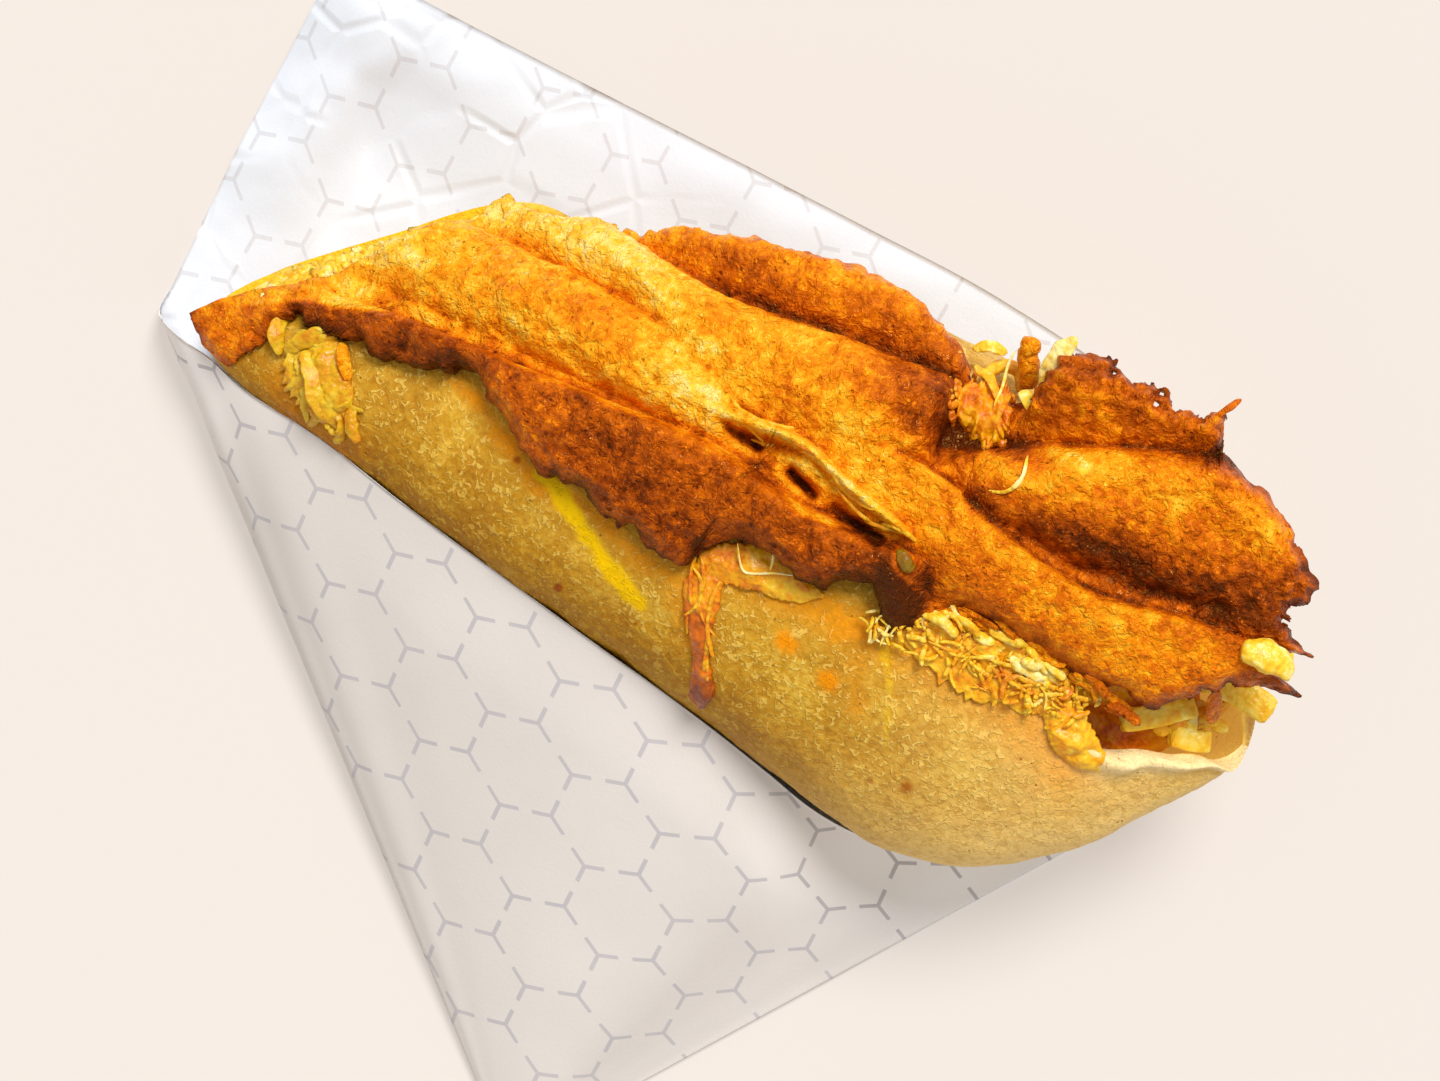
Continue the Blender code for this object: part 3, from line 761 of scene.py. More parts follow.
def paper_finish():
    """White paper, painted cooler inside than its shaded outside, with painted light at two ends of the
    outside, a pale grey print, cracks in its flap and a fine fibre relief.
    """
    finish = Finish("greaseproof paper")
    outer = finish.value("outer")
    x, y, _ = finish.parts(finish.place)
    # Painted light and shade: one paper in two tones, cooler and brighter inside for the lit flap, warmer and
    # darker outside for the front panel in shade.
    inner_tone = finish.blend(finish.cloud(30.0, 3.0), (218, 223, 231), (228, 233, 241))
    outer_tone = finish.blend(finish.cloud(24.0, 3.0), (213, 205, 198), (221, 214, 208))
    tone = finish.blend(outer, inner_tone, outer_tone)
    # Painted light: the outside is lighter at its left end, where that steep side of the cone is in shade.
    tone = finish.blend(outer * finish.step(x, *LEFT_END), tone, (240, 233, 228))
    # Painted light: the outside below the open end is near white, which lifts the shadow that the crepe casts
    # there.
    lit = finish.step(x, *OPEN_END) * finish.step(y, *BEHIND_CORNER)
    tone = finish.blend(outer * lit, tone, (252, 248, 245))
    stroke = honeycomb(finish) * (0.72 + 0.5 * finish.cloud(9.0, 2.0))
    cracks = finish.step(finish.dots(17.0, feature="DISTANCE_TO_EDGE"), 0.0, 0.09)
    cracks = cracks * finish.step(finish.cloud(24.0, 1.0), 0.42, 0.58) * finish.step(x, *CRACKED)
    fibres = finish.cloud(0.7, 4.0, 0.7) + 0.5 * finish.cloud(6.0, 2.0) + 5.0 * cracks * (1 - outer)
    return finish.set(
        Base_Color=finish.blend(stroke * (0.4 + 0.5 * outer), tone, (186, 181, 183)),
        Roughness=finish.step(finish.cloud(4.0), 0.3, 0.7, 0.42, 0.58),
        Normal=finish.bump(fibres, 0.05),
        Subsurface_Weight=0.0,
    )


paper = paper_finish()
print("nodes in the paper's finish:", len(paper.node_tree.nodes))

# %% [markdown]
# The sheet is two grids, its inside and its outside, closed round the cone and joined by a wall along the
# rim. The flat layout goes with them as a UV map. It has one column more than the grids, because the layout
# doesn't meet itself where the cone closes.

# %% The paper
rows, columns = inside.shape[:2]
count = rows * columns
round_quads = grid_quads(rows, columns, closed=True)
last = np.arange(columns) + (rows - 1) * columns
after = np.roll(last, -1)
rim = np.stack([last, after, count + after, count + last], axis=1)
layout = layout / LAYOUT_UNIT
corners = layout.reshape(-1, 2)[grid_quads(rows, columns + 1)]
rim_corners = np.stack([layout[-1, :-1], layout[-1, 1:], layout[-1, 1:], layout[-1, :-1]], axis=1)
add_piece(
    "paper_cone_sheet",
    np.concatenate([inside.reshape(-1, 3), outside.reshape(-1, 3)]),
    np.concatenate([round_quads, round_quads[:, ::-1] + count, rim]),
    paper,
    ["paper_cone"],
    {"outer": np.repeat([0.0, 1.0], count)},
    np.concatenate([corners, corners[:, ::-1], rim_corners]),
)

# %% [markdown]
# The crepe is a soft flatbread about 2.4 mm thick, made of semolina: pale, with fine grains and a few brown
# spots from the pan. It is one closed sheet. Its section runs round the outside, over a rounded lip, back
# round the inside and over the other lip, so the rim is round wherever it shows.

# %% The crepe's shape
CREPE_THICKNESS = 2.4
SKIN_MM_PER_DEGREE = 0.72
CREPE_FRONT = smooth((
    (21.5, 180), (23, 168), (27, 128), (32, 104), (60, 98), (100, 97), (150, 95), (165, 96), (172, 101.5),
    (177, 107), (182.5, 109.5), (189, 108.5), (195, 111), (199.5, 113), (202.5, 128), (205, 150),
    (207.5, 180),
))
CREPE_BACK = smooth(((21.5, 0), (24, 14), (32, 42), (60, 40), (150, 36), (175, 24), (195, 8), (207.5, 0)))
CREPE_ROWS = 330
LIP_PUSH, LIP_SWELL, SAG = 2.3, 1.5, 1.8
LIP_WAY = np.array((-0.70, 0.71, 0.0))
END_START, END_ROUND = 202.0, 3.4
EXTRA_AT_START, EXTRA_AT_END = (0.05, 0.15, 0.3), (0.05, 0.2)
LOOP_STRETCHES = ((0, 0.42, 120), (0.43, 0.8, 26), (0.81, 1, 24))
LIP_WAVES = ((2.2, 9.0, 17), (1.2, 3.5, 18))
CREPE_LUMPS = ((0.28, 9.0, 21), (0.14, 4.5, 22), (0.14, 2.4, 25), (0.09, 1.1, 26))


def crepe_grid():
    """Section after section of one loop: outside, back lip, inside, front lip, with a wavy lip."""
    u = ROLL_START + (ROLL_END - ROLL_START) * np.linspace(0, 1, CREPE_ROWS)
    ends = (np.add(ROLL_START, EXTRA_AT_START), np.subtract(ROLL_END, EXTRA_AT_END))
    u = np.sort(np.concatenate([u, *ends]))[:, None]
    wave = noises(u, *LIP_WAVES)[:, None] * ease(160.0, 176.0, u) * ease(0.0, 12.0, ROLL_END - u)
    first, last = CREPE_FRONT(u) + wave, 360 + CREPE_BACK(u)
    f = np.concatenate([np.linspace(*stretch) for stretch in LOOP_STRETCHES])
    round_lip = np.radians(np.arange(22.5, 180, 22.5))
    half = CREPE_THICKNESS / 2
    out, back = half - half * np.cos(round_lip), half + half * np.cos(round_lip)
    bulge = np.concatenate([0 * f, half * np.sin(round_lip), 0 * f[::3], -half * np.sin(round_lip)])
    inset = np.concatenate([0 * f, out, 0 * f[::3] + CREPE_THICKNESS, back])
    f = np.concatenate([f, 0 * round_lip + 1, f[::-3], 0 * round_lip])
    angle = first + (last - first) * f + bulge / SKIN_MM_PER_DEGREE * ease(0, 6, u - ROLL_START)
    return u + 0 * angle, angle, inset, f * (last - first) * SKIN_MM_PER_DEGREE


def crepe_surface(u, angle, inset, reach):
    """The loop on the roll: lumps, a swollen lip and a sag at the mouth, a pushed corner, a round end."""
    point = roll_surface(u, angle, 0 * angle + inset)
    lumps = noises(point, *CREPE_LUMPS)
    swell = LIP_SWELL * ease(168.0, 178.0, u) * bell(reach, 3.2) * (1 + 0.5 * noise(point, 5.0, 28))
    sag = SAG * plateau((158.0, 172.0), (184.0, 196.0), u) * bell(angle - 172.0, 34.0)
    swell = (swell + sag) * (inset < 0.6 * CREPE_THICKNESS)
    body = ease(0, 5, u - ROLL_START) * ease(0, 4, ROLL_END - u)
    point = roll_surface(u, angle, inset - swell - body * np.where(inset < 0.3, lumps - 0.1, 0.4 * lumps))
    push = LIP_PUSH * (1 - ease(0.0, 10.0, u - ROLL_START)) * (1 + 0.25 * noise(point, 7.0, 27))
    point = point + push[..., None] * LIP_WAY
    over = np.maximum(point[..., 0] - END_START, 0.0)
    point[..., 0] += END_ROUND * (1 - np.exp(-over / END_ROUND)) - over
    return point


crepe_u, crepe_angle, crepe_inset, crepe_reach = crepe_grid()
crepe_points = crepe_surface(crepe_u, crepe_angle, crepe_inset, crepe_reach)
print("crepe rows and columns:", crepe_points.shape[:2])

# %% [markdown]
# Fat and cheese have run onto the crepe. Where they lie is painted on its points, as numbers that the finish
# reads: an orange stain under the crust's front border, yellow streaks of melted cheese, and brown spots from
# the pan. More numbers say where the crepe is darkened beside the paper, a painted shade; where it is paler,
# towards its open end and, as painted light that lifts the shade, on its lower front side; where it is yellow
# at its folded lip; and which points are inside.

# %% Stains on the crepe
STAINS = (
    (((50, 10.4), (58, 8.2), (64, 5), (72, 1), (80, 1.8), (90, -1.4), (100, -2.6)), 1.7, 0.9),
    (((102, 2), (112, 4.5), (124, 4), (134, 4)), 3.6, 0.75),
    (((101, -2), (104, -6), (108, -11)), 2.2, 0.5),
    (((126, 6), (129.5, 1.5)), 1.8, 0.8),
    (((134, 2), (136, -3), (139, -8)), 1.8, 0.35),
    (((140, 6), (150, 5.6), (160, 4.6), (170, 2.6), (176, -1)), 5.5, 0.55),
    (((122.3, -2.8), (123.3, -3.4)), 1.5, 1.2),
    (((131.9, -5.9), (132.7, -6.5)), 1.4, 1.1),
    (((22, -5), (30, -8), (36, -9)), 4.0, 0.5),
    (((-6, -2), (0, -3), (4, -4)), 4.0, 1.3),
)
STREAKS = (
    (((71, 4), (80, -0.5), (88, -5.4), (94.5, -9)), 1.9, 1.0),
    (((94, -8.5), (97, -9.2)), 1.5, 0.9),
    (((138.4, 3), (142.4, -3.4), (146.5, -12)), 1.1, 0.52),
    (((138, 5), (143, 5.6), (149, 4.6)), 2.6, 0.45),
    (((152, 3.0), (158, 3.4)), 1.8, 0.45),
    (((105, 5), (112, 4.2), (118, 5.6)), 2.2, 0.5),
    (((27, 3), (30, -6)), 5.0, 0.5),
)
SPOTS = (
    (153.2, -16.8, 1.5, 0.8), (147.0, -18.8, 1.0, 0.6),
    (66.4, 3.2, 0.8, 1.2), (82.9, -13.6, 0.9, 1.3), (79.0, -10.5, 0.35, 1.2), (41.0, -7.6, 1.7, 0.5),
    (168.0, -3.5, 1.0, 0.5), (58.0, -3.0, 0.4, 0.9), (98.0, -13.0, 0.45, 0.9), (113.0, -16.5, 0.4, 0.8),
)


def painted(s, t, lines):
    """The strongest of several painted lines at each point, each a bell across its own line."""
    wander = 0.9 * noise(np.stack([s, t], -1), 3.0, 31)
    total = np.zeros(np.shape(s))
    for line, width, strength in lines:
        gap = np.maximum(line_distance(s, t, line) + wander, 0)
        total = np.maximum(total, strength * bell(gap, width))
    return total


s, t, h = np.moveaxis(crepe_points, -1, 0)
spots = sum(depth * bell(np.hypot(s - a, t - b), size) for a, b, size, depth in SPOTS)
front = ease(4.0, 12.0, h) * (crepe_angle < 200)
beside_paper = line_distance(s, t, [row[:2] for row in PAPER_FRONT_EDGE[3:15]])
crepe_values = {
    "stain": front * painted(s, t, STAINS),
    "streak": front * painted(s, t, STREAKS),
    "spot": np.clip(spots * front, 0, 1),
    "inside": ease(1.2, 2.2, crepe_inset + 0 * s),
    "lip": (1 - ease(3.0, 11.0, crepe_u - ROLL_START)) * ease(0.0, 8.0, s) * ease(10.0, 15.0, h),
    # Paler towards the open end; the second term is painted light on the lower front side, which lifts the
    # shade there.
    "pale": 0.1 + 0.65 * ease(130.0, 190.0, s)
    + 0.5 * ease(128.0, 160.0, crepe_angle) * ease(110.0, 150.0, s),
    # Painted shade: a band beside the paper's front edge, where the crepe meets the paper.
    "low": bell(beside_paper, 10.0) * plateau((0.0, 20.0), (130.0, 165.0), s),
    "along": ease(165.0, 200.0, crepe_u),
    "rim": bell(crepe_reach, 4.5) * ease(166.0, 176.0, s),
}
print("crepe, part that is stained:", (crepe_values["stain"] > 0.5).mean().round(3))

# %% [markdown]
# Semolina gives the crepe its look: fine pale grains in a golden ground, small brown specks, and a faint net
# of cells. The painted numbers then lay tones over it. Each layer's strength follows the grain, so a stain
# soaks in between the grains and doesn't look sprayed on. Beside the paper the tone is darkened, a painted
# shade, and the inner face near the open end glows, a painted light.

# %% The crepe's finish
CREPE_LAYERS = (
    # The inside layer is the paler inner face. It is laid strongly, partly as painted light on the shaded
    # inner wall.
    ("pale", 0.3, 0.6, 0.6, 1.0, (240, 200, 118)),
    ("inside", 0.3, 0.6, 0.85, 0.85, (246, 206, 96)),
    ("rim", 0.3, 0.6, 0.75, 1.0, (254, 228, 168)),
    ("lip", 0.2, 0.6, 0.7, 1.0, (250, 200, 40)),
    ("stain", 0.3, 0.6, 0.55, 1.0, (238, 146, 8)),
)


def crepe_finish():
    """Pale semolina: fine light grains, small brown specks, cloudy tone, the painted layers, painted shade
    and painted glow.
    """
    finish = Finish("semolina crepe")
    grain = finish.cloud(1.5, 2.0, 0.5, 0.8)
    flakes = finish.step(finish.cloud(1.3, 1.0, 0.5, 1.2), 0.56, 0.64)
    mosaic = finish.step(finish.dots(1.7, feature="DISTANCE_TO_EDGE"), 0.02, 0.14)
    tone = finish.shades(
        0.55 * finish.cloud(11.0, 3.0) + 0.45 * grain,
        (0.34, (168, 110, 4)), (0.45, (186, 130, 12)), (0.55, (199, 147, 26)), (0.66, (224, 181, 62)),
    )
    tone = finish.blend((1 - mosaic) * 0.16, tone, (182, 120, 6))
    tone = finish.blend(flakes * 0.5, tone, (250, 216, 108))
    for name, low, high, least, most, colour in CREPE_LAYERS:
        tone = finish.blend(finish.value(name) * finish.step(grain, low, high, least, most), tone, colour)
    tone = finish.blend(finish.step(finish.value("streak"), 0.25, 0.85), tone, (244, 196, 4))
    specks = finish.step(finish.dots(2.6), 0.13, 0.06) * finish.step(finish.cloud(7.0, 1.0), 0.50, 0.62)
    tone = finish.blend(specks * 0.75, tone, (134, 84, 24))
    tone = finish.blend(finish.step(finish.value("spot"), 0.2, 0.9), tone, (170, 88, 14))
    # Painted shade: the tone is multiplied darker in the band beside the paper.
    tone = finish.blend(finish.value("low") * 0.75, tone, (214, 190, 108), "MULTIPLY")
    # Painted light: the inner face near the open end glows, as light through the thin crepe would.
    painted_glow = finish.value("inside") * finish.step(finish.value("along"), 0.6, 1.0)
    wet = finish.step(finish.value("streak") + finish.value("lip") + finish.value("stain"), 0.2, 0.8)
    relief = 0.5 * grain + 0.25 * flakes + 0.1 * mosaic + 0.4 * finish.cloud(2.6, 1.0)
    return finish.set(
        Base_Color=tone,
        Roughness=0.52 - 0.2 * wet,
        Specular_IOR_Level=0.2,
        Specular_Tint=(1.0, 0.78, 0.25, 1.0),
        Normal=finish.bump(relief, 0.45),
        Emission_Color=finish.blend(painted_glow, (0, 0, 0), (180, 152, 66)),
        Emission_Strength=0.55,
        Subsurface_Weight=0.1,
        Subsurface_Radius=(1.0, 0.6, 0.3),
        Subsurface_Scale=0.0012,
    )


add_piece(
    "crepe_bread", crepe_points, grid_quads(*crepe_points.shape[:2], closed=True), crepe_finish(),
    ["crepe"], crepe_values,
)

# %% [markdown]
# Inside is melted cheese with shreds in it. The filling is one lumpy body that fills the roll, and its noise
# is drawn out along the roll, so it looks pulled. It sinks a little behind the front lip of the mouth.

# %% The filling
FILLING_GAP = 1.0
FILLING_STOP = 196.0
MOUTH_HOLLOW = 5.0
FILLING_ROWS, OPEN_COLUMNS, COVERED_COLUMNS = 190, 72, 60


def filling_grid():
    """A closed section at each u, close to the skin where the crepe is open and under the crepe elsewhere."""
    u = ROLL_START + (ROLL_END - ROLL_START) * np.linspace(0, 1, FILLING_ROWS)[:, None]
    deep = CREPE_THICKNESS + FILLING_GAP
    front, back = CREPE_FRONT(u), CREPE_BACK(u)
    opened = back + 4.5 + (front - back - 9.0) * np.linspace(0, 1, OPEN_COLUMNS)
    covered = front - 1.5 + (363 + back - front) * np.linspace(0, 1, COVERED_COLUMNS)
    angle = np.concatenate([opened, covered], axis=1)
    high = plateau((ROLL_START - 5.0, 26.0), (150.0, 172.0), u)
    inset = np.concatenate([deep - (deep - 0.1) * high + 0 * opened, deep + 0 * covered], axis=1)
    beside_lip = 1 - ease(6.0, 18.0, np.abs(angle - front))
    inset = inset + MOUTH_HOLLOW * plateau((162.0, 172.0), (186.0, 196.0), u) * beside_lip
    u = u + 0 * angle
    point = roll_surface(u, angle, inset, ROLL_END - FILLING_STOP)
    shreds = rough(point * (0.45, 1.0, 1.0), 3.2, 3, 41)
    depth = 0.3 + 0.9 * ease(150.0, 166.0, u)
    points = roll_surface(u, angle, inset + 0.35 + depth * (0.5 - shreds), ROLL_END - FILLING_STOP)
    points[0] = points[0].mean(axis=0)
    points[-1] = points[-1].mean(axis=0)
    return points


PALE_CHEESE = (254, 226, 112)


def cheese_finish(name, warm=0.0, shine=0.28, tint=(255, 255, 255), palest=PALE_CHEESE):
    """Melted cheese: yellow with paler and deeper clouds, soft inside, with a wet surface and a tint."""
    finish = Finish(name)
    cloud = 0.6 * finish.cloud(5.0, 4.0, 0.6, 0.8) + 0.4 * finish.cloud(1.4, 3.0)
    tone = finish.shades(
        cloud + finish.value("toast") * 0.5 + warm,
        (0.28, palest), (0.42, (249, 202, 46)), (0.56, (240, 168, 10)), (0.74, (220, 112, 5)),
        (0.95, (140, 60, 5)),
    )
    relief = finish.cloud(1.8, 1.0) + 0.5 * finish.cloud(0.9, 1.0)
    return finish.set(
        Base_Color=finish.blend(1.0, tone, tint, "MULTIPLY"),
        Roughness=finish.step(finish.cloud(2.5), 0.35, 0.65, shine, shine + 0.22),
        Normal=finish.bump(relief, 0.5),
        Specular_IOR_Level=0.3,
        Subsurface_Weight=0.2,
        Subsurface_Radius=(1.0, 0.7, 0.25),
        Subsurface_Scale=0.0015,
        Coat_Weight=0.12,
        Coat_Roughness=0.15,
    )


filling_points = filling_grid()
s = filling_points[..., 0]
filling_toast = 0.25 * ease(172, 180, s) + 0.35 * rough(filling_points, 6.0, 2, 44) * ease(150, 165, s)
add_piece(
    "filling_core", filling_points, grid_quads(*filling_points.shape[:2], closed=True),
    cheese_finish("melted filling", 0.06, 0.3), ["filling"], {"toast": filling_toast},
)

# %% [markdown]
# The crust is the hero: a sheet of cheese fried until it is brown and crisp, pleated into long folds. A fold
# is a row of (S, T of its crest, width in front, width behind, height) along the roll. At each point the
# highest fold wins, and where two folds meet they leave a sharp crease, as two rolls side by side do.

# %% The crust's folds
FOLDS = {
    "front": (8.0, 9.0, 2.2, (
        (14, 7.6, 7, 5.0, 0.8), (24, 9.6, 5, 4.6, 2.2), (38, 13.8, 7, 2.0, 5.0), (56, 15.2, 10, 2.2, 6.2),
        (80, 17.4, 18, 2.4, 6.6), (97, 18.8, 20, 2.6, 6.2), (115, 16.4, 14, 3.0, 6.2),
        (133, 18.0, 13, 2.6, 6.4),
    )),
    "middle left": (14.0, 14.0, 2.2, (
        (32, 27, 8, 9, 3.5), (60, 27.5, 7.5, 8.5, 5.2), (75, 27.6, 7.0, 8.5, 5.6), (92, 25.4, 4.5, 12, 4.2),
    )),
    "middle back": (12.0, 5.0, 2.2, (
        (54, 41.5, 6.0, 5.5, 4.2), (75, 39.4, 5.0, 5.0, 5.4), (90, 38.6, 11, 5.5, 5.6),
        (110, 38.4, 13, 8.5, 6.2), (127, 40.6, 9, 8.0, 6.4),
    )),
    "back": (8.0, 5.0, 2.2, (
        (62, 50, 4, 5, 4.5), (80, 49.6, 5, 6, 6.4), (95, 51.3, 6, 6, 7.0), (110, 53.2, 6.5, 6, 7.2),
        (119, 53.0, 6, 5, 6.2), (127, 51.0, 5, 4, 4.2),
    )),
    "seam strand": (8.0, 5.0, 1.6, (
        (92, 25.4, 1.6, 2.6, 4.8), (101, 26.2, 1.2, 2.4, 5.4), (110, 27.2, 1.4, 2.2, 5.6),
        (120, 24.8, 1.3, 2.4, 5.6), (132, 22.4, 1.3, 2.6, 5.4),
    )),
    "middle right": (16.0, 6.0, 2.4, (
        (118, 31.5, 14, 3.0, 3.6), (135, 31.6, 15, 1.6, 4.6), (146, 29.4, 15, 1.4, 4.8),
        (166, 27.2, 14, 1.4, 4.6), (183, 31.0, 18, 1.6, 4.6), (200, 32.5, 16, 1.8, 3.4),
    )),
    "lobe": (7.0, 10.0, 1.9, (
        (139, 39.0, 9, 4.0, 3.6), (150, 43.6, 15, 4.6, 5.6), (163, 49.4, 22, 5.0, 5.8),
        (178, 52.5, 24, 6.0, 5.6), (200, 46.0, 18, 9.0, 4.8),
    )),
    "lace": (4.0, 5.0, 1.6, (
        (146, 58.0, 11, 9, 4.4), (158, 61.5, 10, 9, 4.6), (171, 65.5, 9, 9, 4.8),
    )),
}
SEAM_HOLES = (
    (((110.6, 22.8), (115.6, 21.0)), 0.9, 3.8),
    (((120.0, 20.6), (124.5, 19.8), (129.0, 19.0)), 1.1, 3.4),
    (((98.0, 24.4), (103.5, 24.0)), 0.9, 2.0),
)
GROOVES = (
    (((133, 40.4), (140, 41.4), (147, 44.6)), 2.6, 3.4),
    (((150, 31.6), (160, 31.0), (172, 32.4), (186, 35.6)), 1.4, 1.5),
)
ARCH_POWER = 0.9


def fold_relief(s, t):
    """The highest fold at each plan point: an arch across each crest, faded out at both ends of its line."""
    total = np.zeros(np.shape(s))
    for fade_in, fade_out, bulge, table in FOLDS.values():
        crest, before, behind, height = (smooth([(row[0], row[k]) for row in table]) for k in range(1, 5))
        start, stop = table[0][0], table[-1][0]
        present = plateau((start - fade_in, start), (stop, stop + fade_out), s)
        off = t - crest(s)
        x = np.where(off < 0, off / before(s), off / behind(s))
        arch = height(s) * present * np.clip(1 - np.abs(x) ** bulge, 0, None) ** ARCH_POWER
        total = np.maximum(total, arch)
    for line, width, depth in (*SEAM_HOLES, *GROOVES):
        total = total - depth * bell(line_distance(s, t, line), width)
    return total


print("folds of the crust:", ", ".join(FOLDS))

# %% [markdown]
# The outline comes from the same borders as the solid's, with a ragged edge cut into it: a field of
# millimetres says how far each grid point is inside, noise and bubbles eat into that field, and the points
# next to its zero line are pulled onto it, so the edge is thin and torn but not stepped.

# %% The crust's outline
CRUST_START = 25.6
CRUST_FRONT_EDGE = (
    (-1.4, 0.6), (5.0, -3.8), (11.0, -5.4), (14.5, -1.0), (17.0, 5.0), (19.0, 8.2), (21.0, 6.6),
    (25.2, 7.0), (29.5, 8.6), (31.5, 8.8), (34.6, 7.4), (37.0, 7.6), (39.4, 8.6), (41.1, 9.8), (42.3, 9.0),
    (46.0, 9.4), (50.0, 11.4), (53.0, 12.8), (55.4, 12.4), (58.0, 10.2), (63.3, 7.4), (66.7, 5.2),
    (71.8, 3.0), (76.9, 3.3), (80.1, 4.0), (84.6, 2.0), (88.6, 1.0), (90.5, 2.2), (94.1, 0.4), (97.4, -0.3),
    (101.6, -0.2), (103.0, 4.0), (105.5, 7.4), (110.1, 8.9), (114.0, 8.3), (119.4, 6.6), (125.7, 7.8),
    (127.6, 10.2), (131.1, 12.0), (134.4, 9.0), (137.0, 6.0), (139.5, 6.4), (141.5, 9.0), (144.0, 12.0),
    (148.0, 15.6), (155.0, 15.6), (162.0, 15.0), (168.0, 14.0), (173.0, 13.8), (178.0, 14.8), (183.0, 13.8),
    (186.0, 16.6), (189.6, 20.4), (194.0, 24.6), (199.0, 27.0), (207.0, 27.6),
)
CRUST_BACK_EDGE = (
    (43.4, 45.2), (46.4, 43.6), (50.0, 43.0), (55.6, 43.6), (61.0, 46.6), (67.6, 47.0), (74.0, 49.6),
    (81.9, 51.4), (90.0, 53.4), (98.0, 54.6), (107.0, 55.8), (116.5, 56.2), (122.0, 55.2), (127.2, 54.0),
    (130.8, 51.4), (133.5, 49.4), (139.0, 49.2), (142.0, 51.5), (143.4, 56.5), (145.2, 62.4), (150.0, 64.8),
    (155.4, 63.6), (160.3, 63.8), (167.0, 63.0), (169.6, 65.4), (172.2, 66.2), (173.6, 62.6), (174.6, 59.4),
    (178.0, 58.2), (184.2, 57.0), (188.9, 54.0), (195.6, 49.2), (201.3, 46.7),
)
CRUST_END = (
    (26.0, 201.0), (27.6, 205.6), (28.4, 206.8), (29.2, 203.4), (30.6, 199.0), (33.0, 198.4), (34.4, 201.6),
    (35.4, 205.0), (36.2, 201.4), (38.2, 198.0), (41.4, 196.6), (43.4, 199.4), (45.4, 200.2), (47.2, 203.0),
    (48.4, 200.6), (50.0, 198.0), (60.0, 196.0),
)
CRUST_LAST = 206.6
NOTCH = (3, 8)
PINHOLES = (
    (199.0, 40.0, 0.75), (196.4, 38.6, 0.5), (160.5, 60.6, 0.6), (163.6, 61.2, 0.5), (152.0, 62.0, 0.45),
)
CRUST_ROWS, CRUST_COLUMNS = 378, 122
LOBE_LINE = smooth((
    (133, 44.0), (140, 46.0), (147, 50.0), (155, 54.0), (163, 57.0), (170, 59.0), (180, 62.0),
))
BITES = ((0.7, 3.0, 51), (0.7, 1.5, 52))
LACE_BITES = ((1.0, 2.8, 53), (1.0, 1.4, 54))
LACE_CELL = 2.4
CORNER_REACH, BACK_REACH, START_MARGIN, END_SLANT = 4.0, 3.6, 2.4, 0.6
NEAR_EDGE = 0.75


def crust_places(along, across):
    """The section places of the crust's grid, between its front and back borders and its two ends."""
    front_u, front_v = section_place(CRUST_FRONT_EDGE[:NOTCH[0]] + CRUST_FRONT_EDGE[NOTCH[1]:])
    back_u, back_v = section_place(CRUST_BACK_EDGE)
    first = CRUST_START - CORNER_REACH * (1 - ease(0.16, 0.42, across)) - BACK_REACH * ease(0.84, 1.0, across)
    u = first + along * (CRUST_LAST - first)
    low = np.interp(u, front_u, front_v)
    high = np.interp(u, back_u, back_v)
    v = low + across * (high - low)
    s, t = plan(u, v)
    to_end = END_SLANT * (np.interp(t, *np.transpose(CRUST_END)) - s)
    return u, v, np.minimum(u - first + START_MARGIN, to_end)


def lacy(s, t):
    """1 on the lacy lobe behind the open end, and 0 elsewhere."""
    return plateau((140.0, 146.0), (173.0, 177.0), s) * ease(-1.5, 2.5, t - LOBE_LINE(s))


def to_border(s, t, ends):
    """Millimetres to the nearest of the crust's borders and ends."""
    sides = np.minimum(line_distance(s, t, CRUST_FRONT_EDGE), line_distance(s, t, CRUST_BACK_EDGE))
    return np.minimum(sides, ends)


def crust_inside(u, v, ends):
    """Millimetres from the ragged edge: the nearest border, less noise, less bubbles in the lacy lobe."""
    s, t = plan(u, v)
    near = to_border(s, t, ends)
    at = np.stack([s, t], axis=-1)
    crisp = lacy(s, t)
    bite = (0.5 + noises(at, *BITES)) * (0.2 + 0.8 * ease(6.0, 18.0, s))
    bite = bite + crisp * (0.6 + noises(at, *LACE_BITES))
    holes = spread(at, LACE_CELL, 55) * LACE_CELL - 0.5
    holes = holes + 0.3 * np.maximum(near - 1.2, 0) + 3.0 * (1 - crisp)
    for hole_s, hole_t, radius in PINHOLES:
        holes = np.minimum(holes, np.hypot(s - hole_s, t - hole_t) - radius)
    outside = (t < np.interp(s, *np.transpose(CRUST_FRONT_EDGE))) | (ends < 0)
    return np.where(outside, -np.abs(near), np.minimum(near - bite, holes))


along, across = np.linspace(0, 1, CRUST_ROWS)[:, None], np.linspace(0, 1, CRUST_COLUMNS)[None, :]
inside_by = crust_inside(*crust_places(along, across))
slope_along, slope_across = np.gradient(inside_by)
steep = slope_along**2 + slope_across**2 + 1e-9
pull = np.where(np.abs(inside_by) / np.sqrt(steep) < NEAR_EDGE, -inside_by / steep, 0.0)
along = np.clip(along + pull * slope_along / (CRUST_ROWS - 1), 0, 1)
across = np.clip(across + pull * slope_across / (CRUST_COLUMNS - 1), 0, 1)
keep = (inside_by[:-1, :-1] + inside_by[1:, :-1] + inside_by[1:, 1:] + inside_by[:-1, 1:]) > 0
print("crust quads kept:", int(keep.sum()), "of", keep.size)

# %% [markdown]
# Frying raises blisters, pits and fine wrinkles. They are added to the folds along the surface's normal, and
# the lacy lobe gets a foam of beads. The sheet is thin at its edges.

